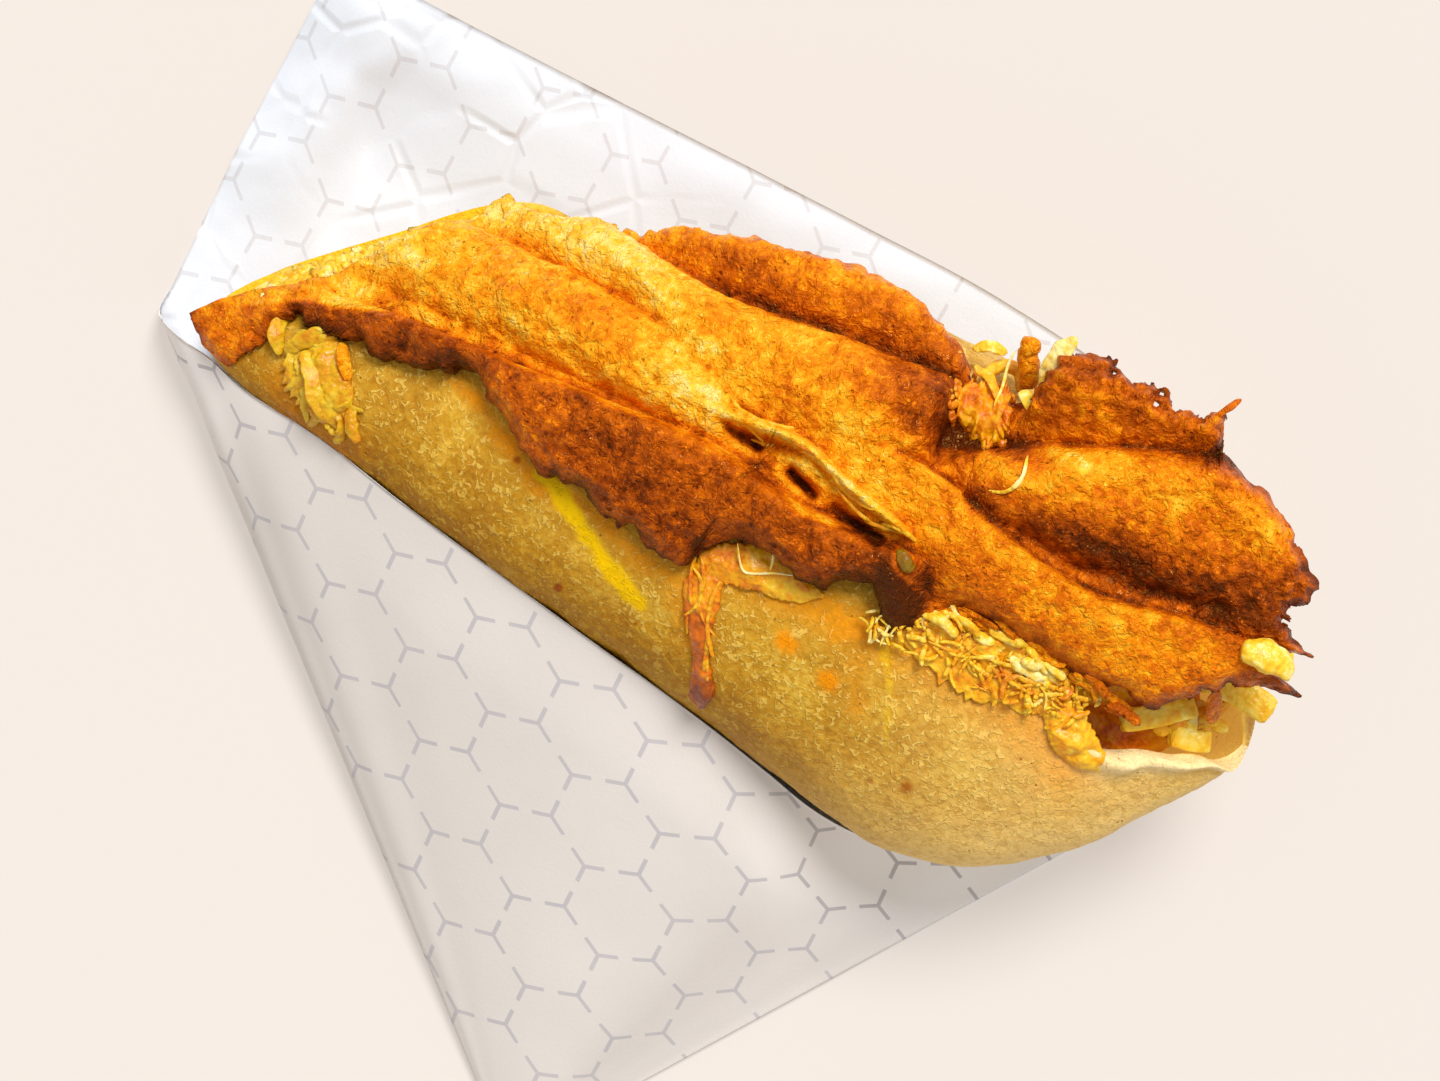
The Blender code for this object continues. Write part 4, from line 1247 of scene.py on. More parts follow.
# %% The crust's relief
CRUST_GAP, CRUST_THICKNESS = 1.0, 2.0
CRUST_TOP = 64.5
MIDDLE_LINE = smooth((
    (20, 40.0), (51, 37.5), (61, 35.6), (75, 34.9), (90, 35.6), (110, 37.5), (122, 36.8), (135, 33.9),
    (146, 30.8), (156, 30.1), (166, 28.7), (175, 31.0), (183, 33.2), (190, 34.2), (206, 36.0),
))
BLISTER_CELL, BEAD_CELL, PIT_CELL = 3.1, 2.0, 2.3
BLISTER, PIT, BEAD = 0.42, 0.5, 1.1
THIN_EDGE = 0.35


def crust_surfaces(u, v, ends):
    """The upper and lower surface, and the folds, the fine relief and the thin edge that the colour reads."""
    inside_by = crust_inside(u, v, ends)
    s, t = plan(u, v)
    at = np.stack([s, t], axis=-1)
    crisp = lacy(s, t)
    relief = fold_relief(s, t) * (0.45 + 0.55 * ease(0.0, 4.0, to_border(s, t, ends)))
    bent = np.stack([s, t, 1.2 * relief], axis=-1)
    lumps = 0.9 * rough(bent * (0.6, 1, 1), 7.5, 2, 61)
    squiggle = 1 - 2 * np.abs(noise(bent * (0.8, 1, 1), 2.8, 68))
    wrinkles = 0.4 * noise(bent * (0.5, 1, 1), 2.6, 63) + 0.34 * squiggle + 0.3 * noise(bent, 1.4, 64)
    blister = np.clip(1 - (spread(at + 0.3 * lumps[..., None], BLISTER_CELL, 65) / 0.45) ** 2, 0, 1)
    beads = np.clip(1 - (spread(at, BEAD_CELL, 69) / 0.6) ** 2, 0, 1)
    pits = bell(spread(at, PIT_CELL, 66), 0.17)
    calm = 1 - 0.55 * ease(120.0, 140.0, s) * (1 - ease(-3.0, 0.0, t - MIDDLE_LINE(s)))
    fine = lumps + wrinkles + BLISTER * blister * (noise(at, 9.0, 67) > -0.1) - PIT * pits
    fine = fine * calm + crisp * (BEAD * beads + 0.6 * noise(at, 3.0, 70))
    edge = ease(-0.2, 1.6, inside_by)
    full = THIN_EDGE + (1 - THIN_EDGE) * edge
    corner = 1 - ease(8.0, 26.0, s + 0.3 * t)
    upper = (CRUST_GAP + CRUST_THICKNESS * full) * (1 - 0.6 * corner)
    upper = np.maximum(upper + relief + fine * full, 1.4 - 0.8 * corner)
    hollow = ease(OVERHANG_START, OVERHANG_END, u) * np.maximum(upper - 2.0, 0)
    lower = np.minimum(0.5 - 0.45 * corner + hollow, upper - 0.5)
    return roof_surface(u, v, upper), roof_surface(u, v, lower), relief, fine, edge


u, v, ends = crust_places(along, across)
upper, lower, relief, fine, edge = crust_surfaces(u, v, ends)
s, t = plan(u, v)
upper[..., 2] = np.minimum(upper[..., 2], CRUST_TOP)
print("crust top, mm:", upper[..., 2].max().round(1))

# %% [markdown]
# How brown the cheese is changes from fold to fold, and jumps at the creases between them. So the toast
# number is drawn in zones: each zone has its own number along S, and soft steps across the crease lines pass
# from one zone to the next. Then come patches, as (S, T, length, width, amount): hot and cool ones, and dark
# ones that are painted shade in grooves and holes. Then thin edges, which burn first, and noise. Last comes
# painted shading from the relief: darker in creases and small dips, lighter on crests and small bumps.

# %% The crust's toast
FRONT_CREST = smooth((
    (0, 1.0), (14, 7.0), (19, 9.6), (26, 11.4), (33, 13.4), (40, 15.8), (48, 16.4), (58, 16.6), (68, 17.6),
    (83, 19.0), (95, 20.4), (107, 20.0), (117, 17.2), (128, 20.0), (139, 19.0),
))
BACK_LINE = smooth((
    (50, 46.0), (60, 47.1), (67, 46.6), (78, 43.6), (86, 43.0), (100, 45.6), (119, 47.2), (131, 48.8),
))
LACE_LINE = smooth((
    (133, 40.7), (140, 42.1), (147, 45.7), (155, 49.8), (163, 54.0), (170, 57.5), (180, 62.0),
))
TOAST_FRONT = smooth((
    (0, 0.50), (12, 0.54), (20, 0.66), (28, 0.74), (40, 0.76), (50, 0.76), (62, 0.74), (84, 0.72),
    (100, 0.73), (120, 0.77), (132, 0.86),
))
TOAST_MIDDLE = smooth((
    (0, 0.50), (14, 0.42), (30, 0.33), (50, 0.37), (70, 0.41), (88, 0.33), (100, 0.37), (116, 0.42),
    (135, 0.47), (155, 0.47), (175, 0.48), (187, 0.53), (200, 0.64),
))
TOAST_MIDDLE_BACK = smooth((
    (40, 0.22), (58, 0.24), (75, 0.34), (95, 0.42), (110, 0.50), (125, 0.60), (132, 0.66),
))
TOAST_BACK = smooth(((50, 0.28), (62, 0.32), (75, 0.40), (90, 0.48), (110, 0.50), (130, 0.54)))
TOAST_LOBE = smooth(((132, 0.52), (145, 0.52), (158, 0.60), (172, 0.63), (188, 0.63), (202, 0.66)))
# Hot and cool patches, and dark ones that are painted shade: in the groove under the right lobe, in the
# seam's holes, and in the groove where the middle back fold ends.
TOAST_AND_SHADE_PATCHES = (
    (27, 16.5, 9, 2.4, -0.06), (60, 12, 12, 3, -0.05), (63, 7.0, 8, 3, -0.12), (46, 12, 5, 3, 0.06),
    (70, 29.5, 16, 3.4, 0.05), (89, 29, 10, 4.5, -0.04), (60, 22, 22, 2.6, -0.08), (40, 33, 10, 6, -0.08),
    (70, 41, 12, 3, -0.05), (104, 41.5, 12, 3, -0.05), (112, 34, 9, 4, 0.06), (124, 40, 6, 6, 0.06),
    (90, 46.5, 22, 2.2, 0.20), (118, 49.5, 12, 2.2, 0.16), (75, 46.6, 8, 1.6, 0.10), (128, 44, 4, 6, 0.12),
    (136, 41, 5, 3.5, 0.34), (142, 43.5, 5, 2.5, 0.24), (153, 46.5, 8, 2.4, -0.10),
    (168, 49.0, 13, 4.6, -0.24), (186, 51.5, 6, 4.0, -0.14), (150, 40.0, 8, 2.6, -0.10),
    (188, 49, 10, 5, -0.06), (196, 44, 6, 8, 0.06), (152, 34.5, 14, 2.8, 0.22), (172, 35.0, 16, 3.6, 0.36),
    (188, 38.5, 8, 4.0, 0.18), (138, 30, 10, 4, 0.06), (128, 26, 12, 2.4, -0.08), (150, 22, 16, 4, 0.02),
    (160, 19, 14, 2.5, 0.06), (183, 18, 8, 4, 0.08), (100, 26.6, 14, 2.0, -0.10),
    (121, 24.8, 12, 1.4, -0.06), (113, 22.0, 3.6, 1.0, 0.42), (124.5, 19.9, 6.0, 1.3, 0.36),
    (101, 24.2, 3.5, 0.9, 0.25), (141, 25, 7, 2.0, -0.12), (137, 11, 5.0, 6.0, 0.34),
    (138, 17, 3.0, 3.0, 0.18), (133, 41.5, 5, 3, 0.2), (146, 60, 4, 6, 0.04), (160, 62, 10, 4, 0.03),
    (6, 1, 9, 6, 0.12), (62, 36, 12, 5, -0.05), (66, 50, 10, 3, -0.10), (158, 24, 18, 5, 0.05),
    (148, 18, 8, 4, 0.06), (140, 23, 9, 5, 0.06), (68, 50, 9, 4, -0.08),
)
TOAST_LACE = 0.60
TOAST_WANDER = ((0.8, 4.0, 76), (0.5, 1.7, 77))
TOAST_CLOUDS = ((0.08, 12.0, 71), (0.04, 6.0, 72), (0.02, 3.0, 73), (0.07, 2.4, 75))
BURNT_BORDER, PALE_CORNER = 0.26, 0.24
# How strongly creases are painted darker, and crests and fine bumps lighter: painted shade and light.
GROOVE_PAINTED_SHADE, CREST_PAINTED_LIGHT, EDGE_TOAST, FINE_PAINTED_SHADING = 0.3, 0.08, 0.14, 0.13


def soften(field, times):
    """A blurred copy: each pass averages every grid point with its four neighbours."""
    for _ in range(times):
        wide = np.pad(field, 1, mode="edge")
        field = (wide[:-2, 1:-1] + wide[2:, 1:-1] + wide[1:-1, :-2] + wide[1:-1, 2:] + field) / 5
    return field


def toast_zones(s, t, wander):
    """The toast of each fold's zone, with a soft step to the next zone across each crease line."""
    past_seam = ease(131.0, 135.0, s - 8 * (1 - ease(13.0, 17.0, t)))
    behind_crest = np.maximum(ease(-0.5, 0.7, t - FRONT_CREST(s) + 0.4 * wander), past_seam)
    behind_middle = ease(-1.2, 1.0, t - MIDDLE_LINE(s) + wander)
    behind_back = ease(-0.8, 1.2, t - BACK_LINE(s) + wander) * (1 - ease(130.0, 134.0, s))
    behind_lace = ease(-2.0, 3.5, t - LACE_LINE(s) + wander) * plateau((138.0, 144.0), (172.0, 177.0), s)
    back_half = TOAST_MIDDLE_BACK(s) + (TOAST_LOBE(s) - TOAST_MIDDLE_BACK(s)) * ease(129.0, 134.0, s)
    toast = TOAST_FRONT(s) + (TOAST_MIDDLE(s) - TOAST_FRONT(s)) * behind_crest
    toast = toast + (back_half - toast) * behind_middle
    toast = toast + (TOAST_BACK(s) - toast) * behind_back
    return toast + (TOAST_LACE - toast) * behind_lace


def crust_toast(s, t, relief, fine, edge):
    """How brown each point is: zones, patches, burnt borders, thin edges and noise, with painted shade in
    creases and painted light on crests.
    """
    at = np.stack([s, t], axis=-1)
    toast = toast_zones(s, t, noises(at, *TOAST_WANDER))
    for a, b, length, width, amount in TOAST_AND_SHADE_PATCHES:
        toast = toast + amount * bell(np.hypot((s - a) / length, (t - b) / width), 1.0)
    to_front = line_distance(s, t, CRUST_FRONT_EDGE)
    burnt = bell(to_front, 2.6) * ease(142, 150, s) * (0.6 + 0.8 * noise(at, 3.0, 79))
    pale_corner = (1 - ease(0.0, 17.0, s + 0.4 * t - 36.0)) * ease(19.0, 27.0, t)
    toast = toast + BURNT_BORDER * burnt - PALE_CORNER * pale_corner + noises(at, *TOAST_CLOUDS)
    # Painted shade and light: points below the blurred relief are darkened, points above it lightened, and
    # fine dips and bumps alike.
    groove = soften(relief, 12) - relief
    toast = toast + GROOVE_PAINTED_SHADE * np.clip(groove, 0, 1) - CREST_PAINTED_LIGHT * np.clip(-groove, 0, 1)
    return toast + EDGE_TOAST * (1 - edge) - FINE_PAINTED_SHADING * (fine - soften(fine, 10))


toast = crust_toast(s, t, relief, fine, edge)
print("toast from", toast.min().round(2), "to", toast.max().round(2))

# %% [markdown]
# Fried cheese goes from pale yellow through orange to dark brown as it toasts. One row of colours holds that
# whole path, and the toast number, stirred by noise, picks the place on it. Small curds stay pale, and fine
# winding ridges are raised in the relief and painted lighter, a painted highlight. Oil pools in spots that
# give small sharp glints, so the roughness follows its own noise, and the shine is tinted by the oil.

# %% The crust's finish
TOAST_COLOURS = (
    (0.06, (255, 220, 122)), (0.20, (254, 196, 54)), (0.33, (250, 166, 24)), (0.45, (238, 136, 8)),
    (0.58, (210, 100, 5)), (0.70, (176, 76, 4)), (0.82, (132, 48, 3)), (0.96, (78, 24, 3)),
)


def crust_finish():
    """Fried cheese: the toast colours, dark pits, pale curds, painted highlights on fine ridges, oily patches
    and fine relief.
    """
    finish = Finish("fried cheese crust")
    curds = finish.cloud(2.8, 2.0, 0.5, 0.7)
    grain = finish.cloud(1.2, 1.0, 0.5, 0.8)
    worm_glints = finish.step((finish.cloud(1.9, 1.0, 0.5, 1.4) - 0.5).math("ABSOLUTE"), 0.07, 0.015)
    toast = finish.value("toast") + 0.46 * (curds - 0.5) + 0.24 * (grain - 0.5)
    pits = finish.step(finish.dots(1.9), 0.2, 0.08) * finish.step(finish.cloud(5.0, 2.0), 0.46, 0.60)
    bubbles = finish.step(finish.dots(2.3, finish.stretched(1.0, 1.3, 1.0)), 0.24, 0.12)
    bubbles = bubbles * finish.step(finish.cloud(6.0, 2.0, 0.5, 1.0), 0.50, 0.62)
    # The fine winding ridges lighten the colour: a painted highlight.
    tone = finish.shades(toast + pits * 0.16 - bubbles * 0.15 - worm_glints * 0.09, *TOAST_COLOURS)
    oil = finish.step(finish.cloud(2.6, 3.0, 0.6), 0.48, 0.64)
    relief = 0.9 * curds + 0.8 * grain + 0.14 * worm_glints - 0.4 * pits + 0.25 * bubbles
    return finish.set(
        Base_Color=tone,
        Roughness=0.44 - 0.28 * oil,
        Specular_IOR_Level=0.36,
        Specular_Tint=(1.0, 0.6, 0.14, 1.0),
        Normal=finish.bump(relief, 0.9),
        Subsurface_Weight=0.06,
        Subsurface_Radius=(1.0, 0.4, 0.1),
        Subsurface_Scale=0.001,
    )


crust_cheese = crust_finish()
crust_points, crust_quads = shell(upper, lower, keep)
add_piece(
    "fried_cheese_crust", crust_points, crust_quads, crust_cheese, ["cheese_crust"],
    {"toast": np.concatenate([toast.ravel()] * 2)},
)

# %% [markdown]
# Loose cheese lies on three surfaces: the crepe's skin, the crust's top, and a sloping plane in the open end.
# Each is a function that takes plan points and a height above the surface, so a line drawn in plan can be
# laid on any of them. A fourth one takes heights above the table, for what stands free.

# %% Surfaces to lay things on
SKIN_U_STEP, SKIN_ANGLE_STEP, SKIN_MARGIN = 0.4, 1.0, 0.6
SLOPE_POINT, SLOPE_ALONG, SLOPE_ACROSS = (182.0, 15.0, 43.4), -0.24, -0.02


def skin(u, angle, offset):
    """A point above the roll's skin, offset along the skin's own normal."""
    along = roll_surface(u + SKIN_U_STEP, angle) - roll_surface(u - SKIN_U_STEP, angle)
    around = roll_surface(u, angle + SKIN_ANGLE_STEP) - roll_surface(u, angle - SKIN_ANGLE_STEP)
    return roll_surface(u, angle) + unit(np.cross(around, along)) * offset[..., None]


def on_skin(flat, lift):
    """Plan points lifted above the roll's upper skin."""
    u, v = section_place(flat)
    u = np.clip(u, ROLL_START + SKIN_MARGIN, ROLL_END - SKIN_MARGIN)
    across = np.sign(v) * np.clip(np.abs(v), 0, 1) ** (TOP_ROUNDNESS / 2)
    return skin(u, np.degrees(np.arccos(across)), lift)


def on_crust(flat, lift):
    """Plan points lifted above the crust's top."""
    folds = fold_relief(flat[..., 0], flat[..., 1])
    return roof_surface(*section_place(flat), CRUST_GAP + CRUST_THICKNESS + folds + lift)


def on_slope(flat, lift):
    """Plan points on the sloping plane of the filling in the open end."""
    from_s, from_t, height = SLOPE_POINT
    s, t = flat[..., 0], flat[..., 1]
    return np.stack([s, t, height + SLOPE_ALONG * (s - from_s) + SLOPE_ACROSS * (t - from_t) + lift], axis=-1)


def in_air(flat, lift):
    """Plan points at a height above the table."""
    return np.concatenate([flat, lift[..., None]], axis=-1)


print("a point on the crust, mm:", on_crust(np.array([[110.0, 30.0]]), np.zeros(1)).round(1))

# %% [markdown]
# Melted cheese has run over the crepe: a drip and a band beside it, a clump at the folded corner, a fringe
# under the crust, a lump on the rim, and a line along the folded lip. Each run is a domed ribbon along a line
# in plan, laid on the skin as the solids are, with noise for its torn outline and lumps, and bubbles that
# left pits in it. One more ribbon is the foamy lump in the gap at the crust's back. A row gives the line, its
# half-widths, the height, the lumps, the toast at both ends, and how foamy the run is.

# %% Melted cheese
CLUMP_TINT, CREAM = (228, 222, 150), (253, 234, 156)
MELTS = (
    ("cheese_drip", on_skin, ((104.4, 1.6), (106.6, -4.0), (109.8, -10.6), (112.8, -16.0), (115.2, -20.8)),
     (3.8, 3.2, 1.5, 1.9, 2.8), 1.2, 0.1, (0.3, 0.85), 0.1),
    ("drip_band", on_skin, ((102.6, 0.6), (106.5, 3.4), (112.0, 5.4), (118.0, 5.6), (125.0, 6.4)),
     (2.2, 3.4, 3.8, 3.2, 2.0), 0.9, 0.1, (0.25, 0.1), 0.1),
    ("melted_clump", on_skin, ((34.4, -6.2), (30.0, -1.6), (25.0, 1.8), (19.6, 4.2)),
     (2.8, 5.4, 6.0, 3.4), 1.3, 0.35, (0.0, 0.04), 0.35),
    ("melted_fringe", on_skin, ((137.0, 8.8), (147.0, 9.0), (157.0, 9.4), (166.0, 8.8), (171.5, 7.0)),
     (2.4, 6.0, 6.6, 5.6, 3.4), 1.5, 0.15, (0.16, 0.16), 0.5),
    ("lip_cheese", on_skin, ((5.0, 5.0), (15.0, 13.4), (28.0, 25.6), (42.0, 38.4)),
     (1.6, 2.6, 2.8, 1.6), 0.7, 0.3, (0.08, 0.06), 0.5),
    ("melted_rim_lump", on_skin, ((168.6, 9.6), (171.4, 5.2), (175.6, 0.4), (182.2, -5.6)),
     (3.2, 3.6, 3.6, 2.4), 1.5, 0.1, (-0.02, 0.02), 0.0),
    ("foamy_lump", on_crust, ((129.6, 46.2), (134.0, 46.4), (138.6, 47.0), (142.0, 49.0)),
     (2.6, 4.2, 4.0, 1.8), 1.8, 0.3, (0.42, 0.36), 0.8),
)
MELT_TONES = {"melted_clump": {"tint": CLUMP_TINT}, "melted_fringe": {"palest": CREAM}}
MELT_SLOPES = {"melted_fringe": 0.6}
MELT_COLUMNS, MELT_ROWS_PER_POINT = 45, 40
TEARS = ((0.26, 1.8, 81), (0.16, 0.8, 82))
RIPPLES = ((0.45, 3.4, 83), (0.3, 1.6, 84))


def melt_grid(surface, line, half_widths, height, lumps, foam, slope):
    """A ribbon across a smooth plan line: a dome that thins to its front, lumpy, pitted, with a torn edge."""
    middle, along = curve_through(line, MELT_ROWS_PER_POINT * len(line))
    along = along[:, None]
    across = np.linspace(-1, 1, MELT_COLUMNS)
    way = unit(np.gradient(middle, axis=0))
    width = smooth(np.column_stack([np.arange(len(line)), half_widths]))(along)
    end = np.minimum(along, len(line) - 1 - along)
    side = np.stack([along * 9 + 0 * across, 3 * np.sign(across) + 0 * along], axis=-1)
    torn = 1 + (0.35 + foam) * noises(side, *TEARS)
    reach = width * torn * (0.2 + 0.8 * ease(0, 0.5, end)) * across
    flat = middle[:, None] + reach[..., None] * np.stack([-way[:, 1], way[:, 0]], axis=-1)[:, None]
    lump = 1 + lumps * np.sin(5.1 * along + 1.3) * np.cos(2.3 * across + 1.7 * along)
    dome = (1 - across**2) ** 0.5 * (1 + slope * (across - 0.5)) * (0.15 + 0.85 * ease(0, 0.4, end)) * lump
    curl = 1 - 2 * np.abs(noise(flat, 2.2, 87))
    pits = foam * (0.5 * bell(spread(flat, 1.8, 85), 0.26) - 0.15 - 0.25 * curl)
    thick = height * dome * np.clip(0.8 + noises(flat, *RIPPLES) - pits, 0.1, 1.3)
    place = along / (len(line) - 1) + 0 * dome
    return surface(flat, 0.5 + thick), surface(flat, 0.05 + 0 * dome), pits, place


for name, surface, line, half_widths, height, lumps, warm, foam in MELTS:
    slope = MELT_SLOPES.get(name, 0.0)
    upper, lower, pits, place = melt_grid(surface, line, half_widths, height, lumps, foam, slope)
    melt_points, melt_quads = shell(upper, lower)
    toast = warm[0] + (warm[1] - warm[0]) * place + 0.4 * pits
    toast = 0.18 * noise(melt_points, 4.0, 86) + np.concatenate([toast.ravel()] * 2)
    add_piece(
        name + "_run", melt_points, melt_quads,
        cheese_finish(name + " finish", shine=0.24, **MELT_TONES.get(name, {})),
        [name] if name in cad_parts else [], {"toast": toast},
    )

# %% [markdown]
# In the open end lie thick yellow strips, and a soft curl of onion lies in the gap at the back. Each is a
# rounded box or a tube carried along a bent line, with small dents and rounded ends. One helper carries many
# such tubes at once, as whole arrays, so it serves for the shreds as well.

# %% Strips in the open end
STRIPS = (
    (4.2, ((181.0, 10.4, 44.4), (186.5, 14.2, 42.6), (192.0, 19.0, 41.0))),
    (5.4, ((189.0, 24.2, 41.6), (196.0, 24.6, 39.6), (205.0, 23.8, 39.8))),
    (4.0, ((190.4, 12.4, 40.8), (194.0, 13.0, 39.3), (197.6, 14.4, 38.4))),
    (4.6, ((188.5, 29.2, 42.6), (196.0, 31.2, 40.6), (204.0, 33.2, 41.4))),
)
STRIP_HEIGHT = 3.2
ONION_LINE = ((132.4, 52.6, 46.2), (134.4, 56.2, 43.6), (137.8, 56.8, 43.6), (139.8, 53.4, 46.0))
ONION_WIDTH, ONION_HEIGHT = 2.6, 2.2
INSIDE_SOLID = 0.94
TUBE_STEPS, TUBE_SIDES = 41, 24


def tubes(middle, width, height, squareness=3.0, sides=TUBE_SIDES, dent=0.12, seed=0, taper=8.0, tilt=0.0):
    """Superellipses carried along lines, an array of (line, step, S T H), tilted, and closed at both ends."""
    ahead = unit(np.gradient(middle, axis=1))
    side = unit(np.cross(ahead, (0.0, 0.0, 1.0)))
    up = np.cross(side, ahead)
    tilt = np.reshape(tilt, (-1, 1, 1)) + 0 * side[..., :1]
    side, up = side * np.cos(tilt) + up * np.sin(tilt), up * np.cos(tilt) - side * np.sin(tilt)
    turn = np.linspace(0, 2 * np.pi, sides, endpoint=False)
    across, rise = rounded(np.cos(turn), squareness), rounded(np.sin(turn), squareness)
    size = (1 - np.abs(np.linspace(-1, 1, middle.shape[1])) ** taper) ** 0.5
    width, height = (np.reshape(value, (-1, 1, 1, 1)) / 2 for value in (width, height))
    ring = side[:, :, None] * across[:, None] * width + up[:, :, None] * rise[:, None] * height
    points = middle[:, :, None] + ring * size[:, None, None]
    return points + (points - middle[:, :, None]) * (dent * rough(points, 2.2, 2, seed))[..., None]


def tube_quads(count, steps, sides):
    """The quads of several tubes, one after another."""
    one = grid_quads(steps, sides, closed=True)
    return (one + np.arange(count)[:, None, None] * steps * sides).reshape(-1, 4)


strip_cheese = cheese_finish("cheese strip", -0.1, 0.25)
strip_quads = tube_quads(1, TUBE_STEPS, TUBE_SIDES)
for number, (width, line) in enumerate(STRIPS, start=1):
    middle = curve_through(line, TUBE_STEPS)[0][None]
    points = tubes(middle, width, INSIDE_SOLID * STRIP_HEIGHT, 6.0, dent=0.07, seed=90 + number, taper=20.0)
    add_piece(
        f"yellow_strip_{number}", points, strip_quads, strip_cheese,
        [f"cheese_strip_{number}"], {"toast": 0.1 * noise(points, 4.0, 96)},
    )

middle = curve_through(ONION_LINE, TUBE_STEPS)[0][None]
points = tubes(middle, INSIDE_SOLID * ONION_WIDTH, INSIDE_SOLID * ONION_HEIGHT, 2.2, dent=0.05, seed=95)
add_piece(
    "onion_ring", points, strip_quads, cheese_finish("soft onion", 0.06, 0.3), ["onion_curl"],
    {"toast": 0 * points[..., 0]},
)

# %% [markdown]
# Grated cheese leaves shreds everywhere: in the open end, in the gap at the back, along the folded lip, over
# the clump, the drip and the fringe, and under the crust's front border, where torn layers show. Each group
# is one joined piece. Its shreds start at chance places along a line, and each has a chance heading and bend.
# A row gives the line, the scatter round it, their number, length, heading and turn, the least and most lift,
# the width and height, and the least and most toast.

# %% Shreds
SHREDS = (
    ("clump_shreds", on_skin, ((34.4, -6.4), (30, -1.6), (25.5, 1.6), (20, 4.4)),
     1.6, 20, 6.5, -42, 26, (0.5, 1.3), (2.0, 0.5), (-0.25, 0.1)),
    ("mouth_shreds", on_slope, ((185.5, 13), (189, 15.5), (193, 19.5), (199, 24)),
     1.4, 26, 6.5, 30, 45, (-2.6, 0.4), (2.8, 1.1), (-0.25, 0.5)),
    ("gap_crumbs", on_crust, ((129.0, 48.0), (133, 45.0), (138, 45.6), (142, 48.5)),
     1.7, 110, 2.0, -20, 50, (-0.8, 0.4), (1.3, 0.9), (0.3, 0.75)),
    ("seam_threads", on_crust, ((92, 25.0), (104, 26.2), (114, 25.6), (124, 23.6), (134, 22.0)),
     0.8, 11, 12.0, -6, 7, (-0.3, 0.3), (1.0, 0.5), (0.0, 0.4)),
    ("lip_crumbs", on_skin, ((8, 6.8), (15, 13.2), (28, 25.4), (43, 39.2)),
     1.0, 620, 3.0, 45, 60, (-0.6, 1.5), (2.2, 1.3), (-0.25, 0.02)),
    ("drip_strands", on_skin, ((104, 1), (106.5, -4), (109.6, -10.6), (111, -13)),
     0.8, 9, 11.0, -64, 5, (1.0, 1.5), (0.8, 0.45), (0.1, 0.4)),
    ("fringe_rolls", on_skin, ((142, 12.6), (150, 12.6), (158, 13.2), (165, 12.8)),
     0.7, 13, 7.0, -4, 14, (1.4, 2.8), (1.9, 1.2), (-0.3, -0.1)),
    ("fringe_threads", on_skin, ((134.5, 6.4), (138, 8.6), (142, 12.0), (147, 13.6)),
     1.2, 46, 4.6, -30, 55, (1.0, 2.8), (0.7, 0.45), (-0.3, 0.0)),
    ("fringe_curls", on_skin, ((139, 8.6), (148, 9.0), (157, 8.8), (165, 8.6), (171, 9)),
     2.2, 150, 3.6, -20, 70, (0.9, 2.2), (0.8, 0.45), (-0.1, 0.3)),
    ("torn_layers", on_crust, ((146, 15.2), (158, 15.4), (170, 14.0), (182, 13.4)),
     0.6, 22, 6.5, -4, 12, (-2.8, -1.0), (1.5, 0.5), (0.42, 0.72)),
)
FIRST_SEED = 200
MANY = 300
SHRED_STEPS, CRUMB_STEPS = 11, 5
SHRED_SIDES, CRUMB_SIDES = 8, 6
BEND = 60.0
SHRED_TAPER, SHRED_DENT, SHRED_SQUARENESS, SHRED_TILT = 3.0, 0.3, 2.4, 0.35


def strands(line, scatter, count, length, heading, turn, seed, steps):
    """Plan lines of shreds: chance starts round a line, headings in degrees, and a chance bend of each."""
    dice = np.random.default_rng(seed)
    line = np.array(line, float)
    start = dice.random(count) * (len(line) - 1)
    base = np.stack([np.interp(start, np.arange(len(line)), line[:, k]) for k in range(2)], axis=1)
    base = base + dice.normal(0, scatter, (count, 2))
    f = np.linspace(-0.5, 0.5, steps)
    first = heading + turn * dice.normal(size=(count, 1))
    angle = np.radians(first + BEND * dice.normal(size=(count, 1)) * f)
    step = length * (0.6 + 0.8 * dice.random((count, 1))) / (steps - 1)
    way = np.cumsum(np.stack([np.cos(angle), np.sin(angle)], axis=-1) * step[..., None], axis=1)
    return base[:, None] + way - way[:, steps // 2][:, None], dice


def lay_tubes(name, points, width, height, sides, warm, finish, tilt=SHRED_TILT):
    """One joined piece of tubes, each with its own toast."""
    count, steps = points.shape[:2]
    tube = tubes(points, width, height, SHRED_SQUARENESS, sides, SHRED_DENT, len(name), SHRED_TAPER, tilt)
    toast = np.repeat(warm, steps * sides)
    add_piece(name, tube, tube_quads(count, steps, sides), finish, values={"toast": toast})


shred_cheese = cheese_finish("shredded cheese", palest=(255, 236, 158))
clump_cheese = cheese_finish("clump shreds", tint=CLUMP_TINT)
GROUP_FINISHES = {"torn_layers": crust_cheese, "clump_shreds": clump_cheese}
for number, row in enumerate(SHREDS):
    name, surface, line, scatter, count, length, heading, turn, lifts, size, warmth = row
    steps, sides = (CRUMB_STEPS, CRUMB_SIDES) if count > MANY else (SHRED_STEPS, SHRED_SIDES)
    flat, dice = strands(line, scatter, count, length, heading, turn, FIRST_SEED + number, steps)
    lift = lifts[0] + (lifts[1] - lifts[0]) * dice.random((count, 1)) + 0.2 * dice.normal(size=flat.shape[:2])
    scale = 0.6 + 0.8 * dice.random(count)
    warm = warmth[0] + (warmth[1] - warmth[0]) * dice.random(count) ** 1.5
    tilt = SHRED_TILT * dice.normal(size=count)
    finish = GROUP_FINISHES.get(name, shred_cheese)
    lay_tubes(name, surface(flat, lift), size[0] * scale, size[1] * scale, sides, warm, finish, tilt)

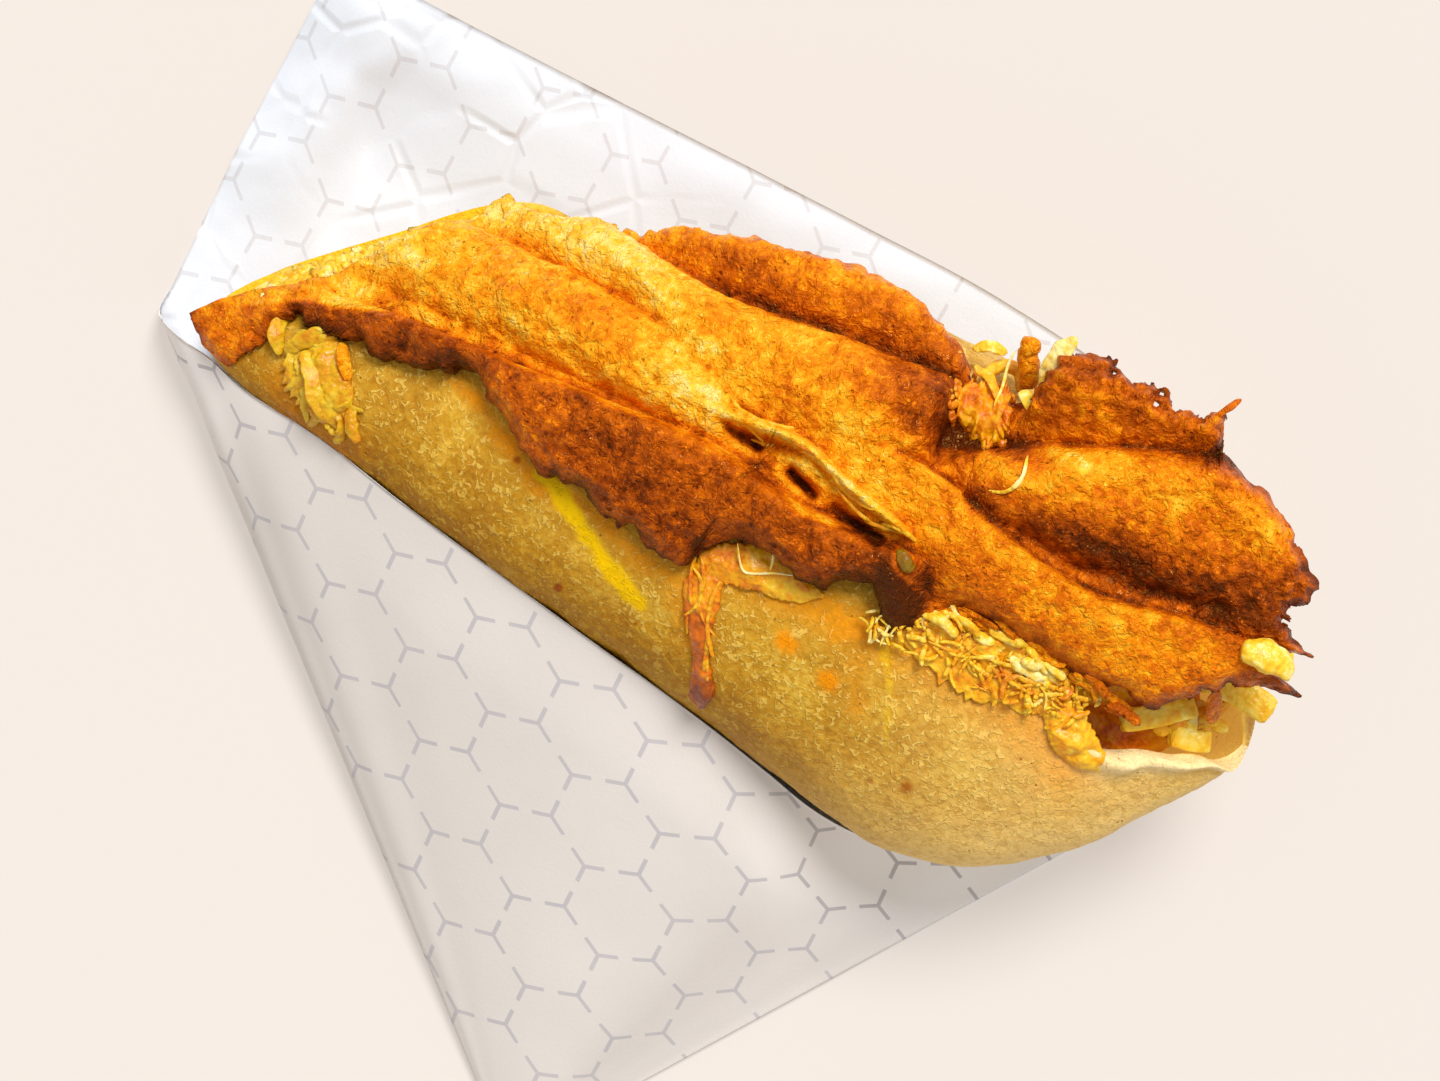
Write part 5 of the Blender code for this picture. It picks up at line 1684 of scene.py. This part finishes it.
# %% [markdown]
# Some loose bits are large enough to see one by one: flat petals on the clump, a nub, a blade and threads in
# the gap at the back, a web of threads above the drip, a chunk and a curl at the open end, a thin stalk on
# the lace, and a green bit of herb on the crust. Each is a tube along its own bent line, whose third number
# is the height above its surface. A row ends with its width, height, toast and finish.

# %% Loose bits
LOOSE_STEPS, LOOSE_SIDES = 21, 14
LOOSE = (
    ("clump_flap", on_skin, ((28.6, 7.6, 1.4), (30.8, 5.0, 1.8), (32.8, 2.0, 0.9)),
     2.6, 0.5, 0.42, crust_cheese),
    ("petal_1", on_skin, ((16.8, 7.4, 0.8), (17.4, 4.0, 2.4), (19.4, 0.6, 1.0)),
     2.8, 0.7, -0.05, clump_cheese),
    ("petal_2", on_skin, ((27.6, 8.8, 1.0), (23.2, 5.2, 2.6), (20.2, 1.2, 1.2)),
     3.2, 0.7, -0.05, clump_cheese),
    ("petal_3", on_skin, ((23.2, 3.8, 1.2), (27.4, 0.2, 2.0), (32.6, -5.6, 0.9)),
     4.6, 0.7, -0.06, clump_cheese),
    ("gap_nub", in_air, ((140.4, 54.8, 45.6), (138.6, 58.0, 48.6), (136.6, 61.2, 49.6)),
     4.0, 3.6, 0.46, crust_cheese),
    ("gap_knob", in_air, ((136.4, 59.8, 49.6), (137.4, 61.0, 50.6), (138.8, 61.4, 50.0)),
     3.4, 2.8, 0.4, crust_cheese),
    ("gap_blade", in_air, ((143.0, 54.4, 52.0), (141.6, 59.6, 55.6), (143.2, 65.4, 57.6)),
     3.6, 0.5, -0.3, shred_cheese),
    ("gap_strip", on_crust, ((130.6, 50.6, 2.0), (134.0, 49.8, 2.6), (138.0, 47.0, 2.2)),
     1.9, 0.5, 0.12, shred_cheese),
    ("gap_bridge", in_air, ((139.2, 53.6, 50.6), (141.6, 52.2, 52.2), (143.4, 52.6, 53.6)),
     3.2, 0.8, -0.1, shred_cheese),
    ("back_shred", in_air, ((128.6, 56.4, 45.6), (131.2, 58.4, 46.6), (134.4, 58.6, 45.6)),
     2.2, 0.7, -0.1, shred_cheese),
    ("high_thread", on_crust, ((139.9, 55.8, 3.6), (141.2, 51.4, 3.4), (141.0, 46.9, 3.6)),
     0.6, 0.5, -0.3, shred_cheese),
    ("low_thread", on_crust, ((146.0, 43.8, 1.2), (146.6, 40.0, 0.9), (145.4, 36.6, 0.7), (142.6, 34.6, 0.5)),
     0.8, 0.6, -0.3, shred_cheese),
    ("end_chunk", on_crust, ((191.2, 31.6, 0.3), (196.2, 32.4, 1.0), (201.6, 31.2, 0.6)),
     5.2, 2.4, -0.2, shred_cheese),
    ("mouth_curl", in_air, ((192.6, 22.6, 50.6), (194.2, 19.8, 46.6), (196.0, 17.4, 43.2)),
     3.2, 0.7, 0.6, crust_cheese),
    ("web_thread", on_skin, ((107.8, 8.2, 3.2), (109.4, 5.6, 2.2), (110.9, 4.2, 1.8), (112.8, 4.7, 1.8),
                             (116.0, 6.4, 1.9), (119.4, 7.6, 2.4)), 0.45, 0.4, -0.3, shred_cheese),
    ("short_web_thread", on_skin, ((113.9, 10.1, 3.6), (114.5, 8.2, 2.6), (114.9, 6.2, 2.0)),
     0.45, 0.4, -0.3, shred_cheese),
    ("stalk", in_air, ((169.0, 61.6, 61.4), (170.8, 65.2, 61.8), (172.6, 68.4, 60.8)),
     1.3, 1.0, 0.6, crust_cheese),
)
HERB_LINE = ((133.0, 19.4, 0.4), (134.6, 18.4, 0.9), (136.4, 17.2, 0.4))
HERB_STEPS, HERB_TINT = 15, (150, 165, 60)

for name, surface, line, width, height, warm, finish in LOOSE:
    points = curve_through(line, LOOSE_STEPS)[0][None]
    points = surface(points[..., :2], points[..., 2])
    lay_tubes(name, points, [width], [height], LOOSE_SIDES, [warm], finish)

green_bit = curve_through(HERB_LINE, HERB_STEPS)[0][None]
lay_tubes(
    "green_bit", on_crust(green_bit[..., :2], green_bit[..., 2]), [2.5], [1.8], LOOSE_SIDES, [0.2],
    cheese_finish("green bit", shine=0.2, tint=HERB_TINT), 0.0,
)
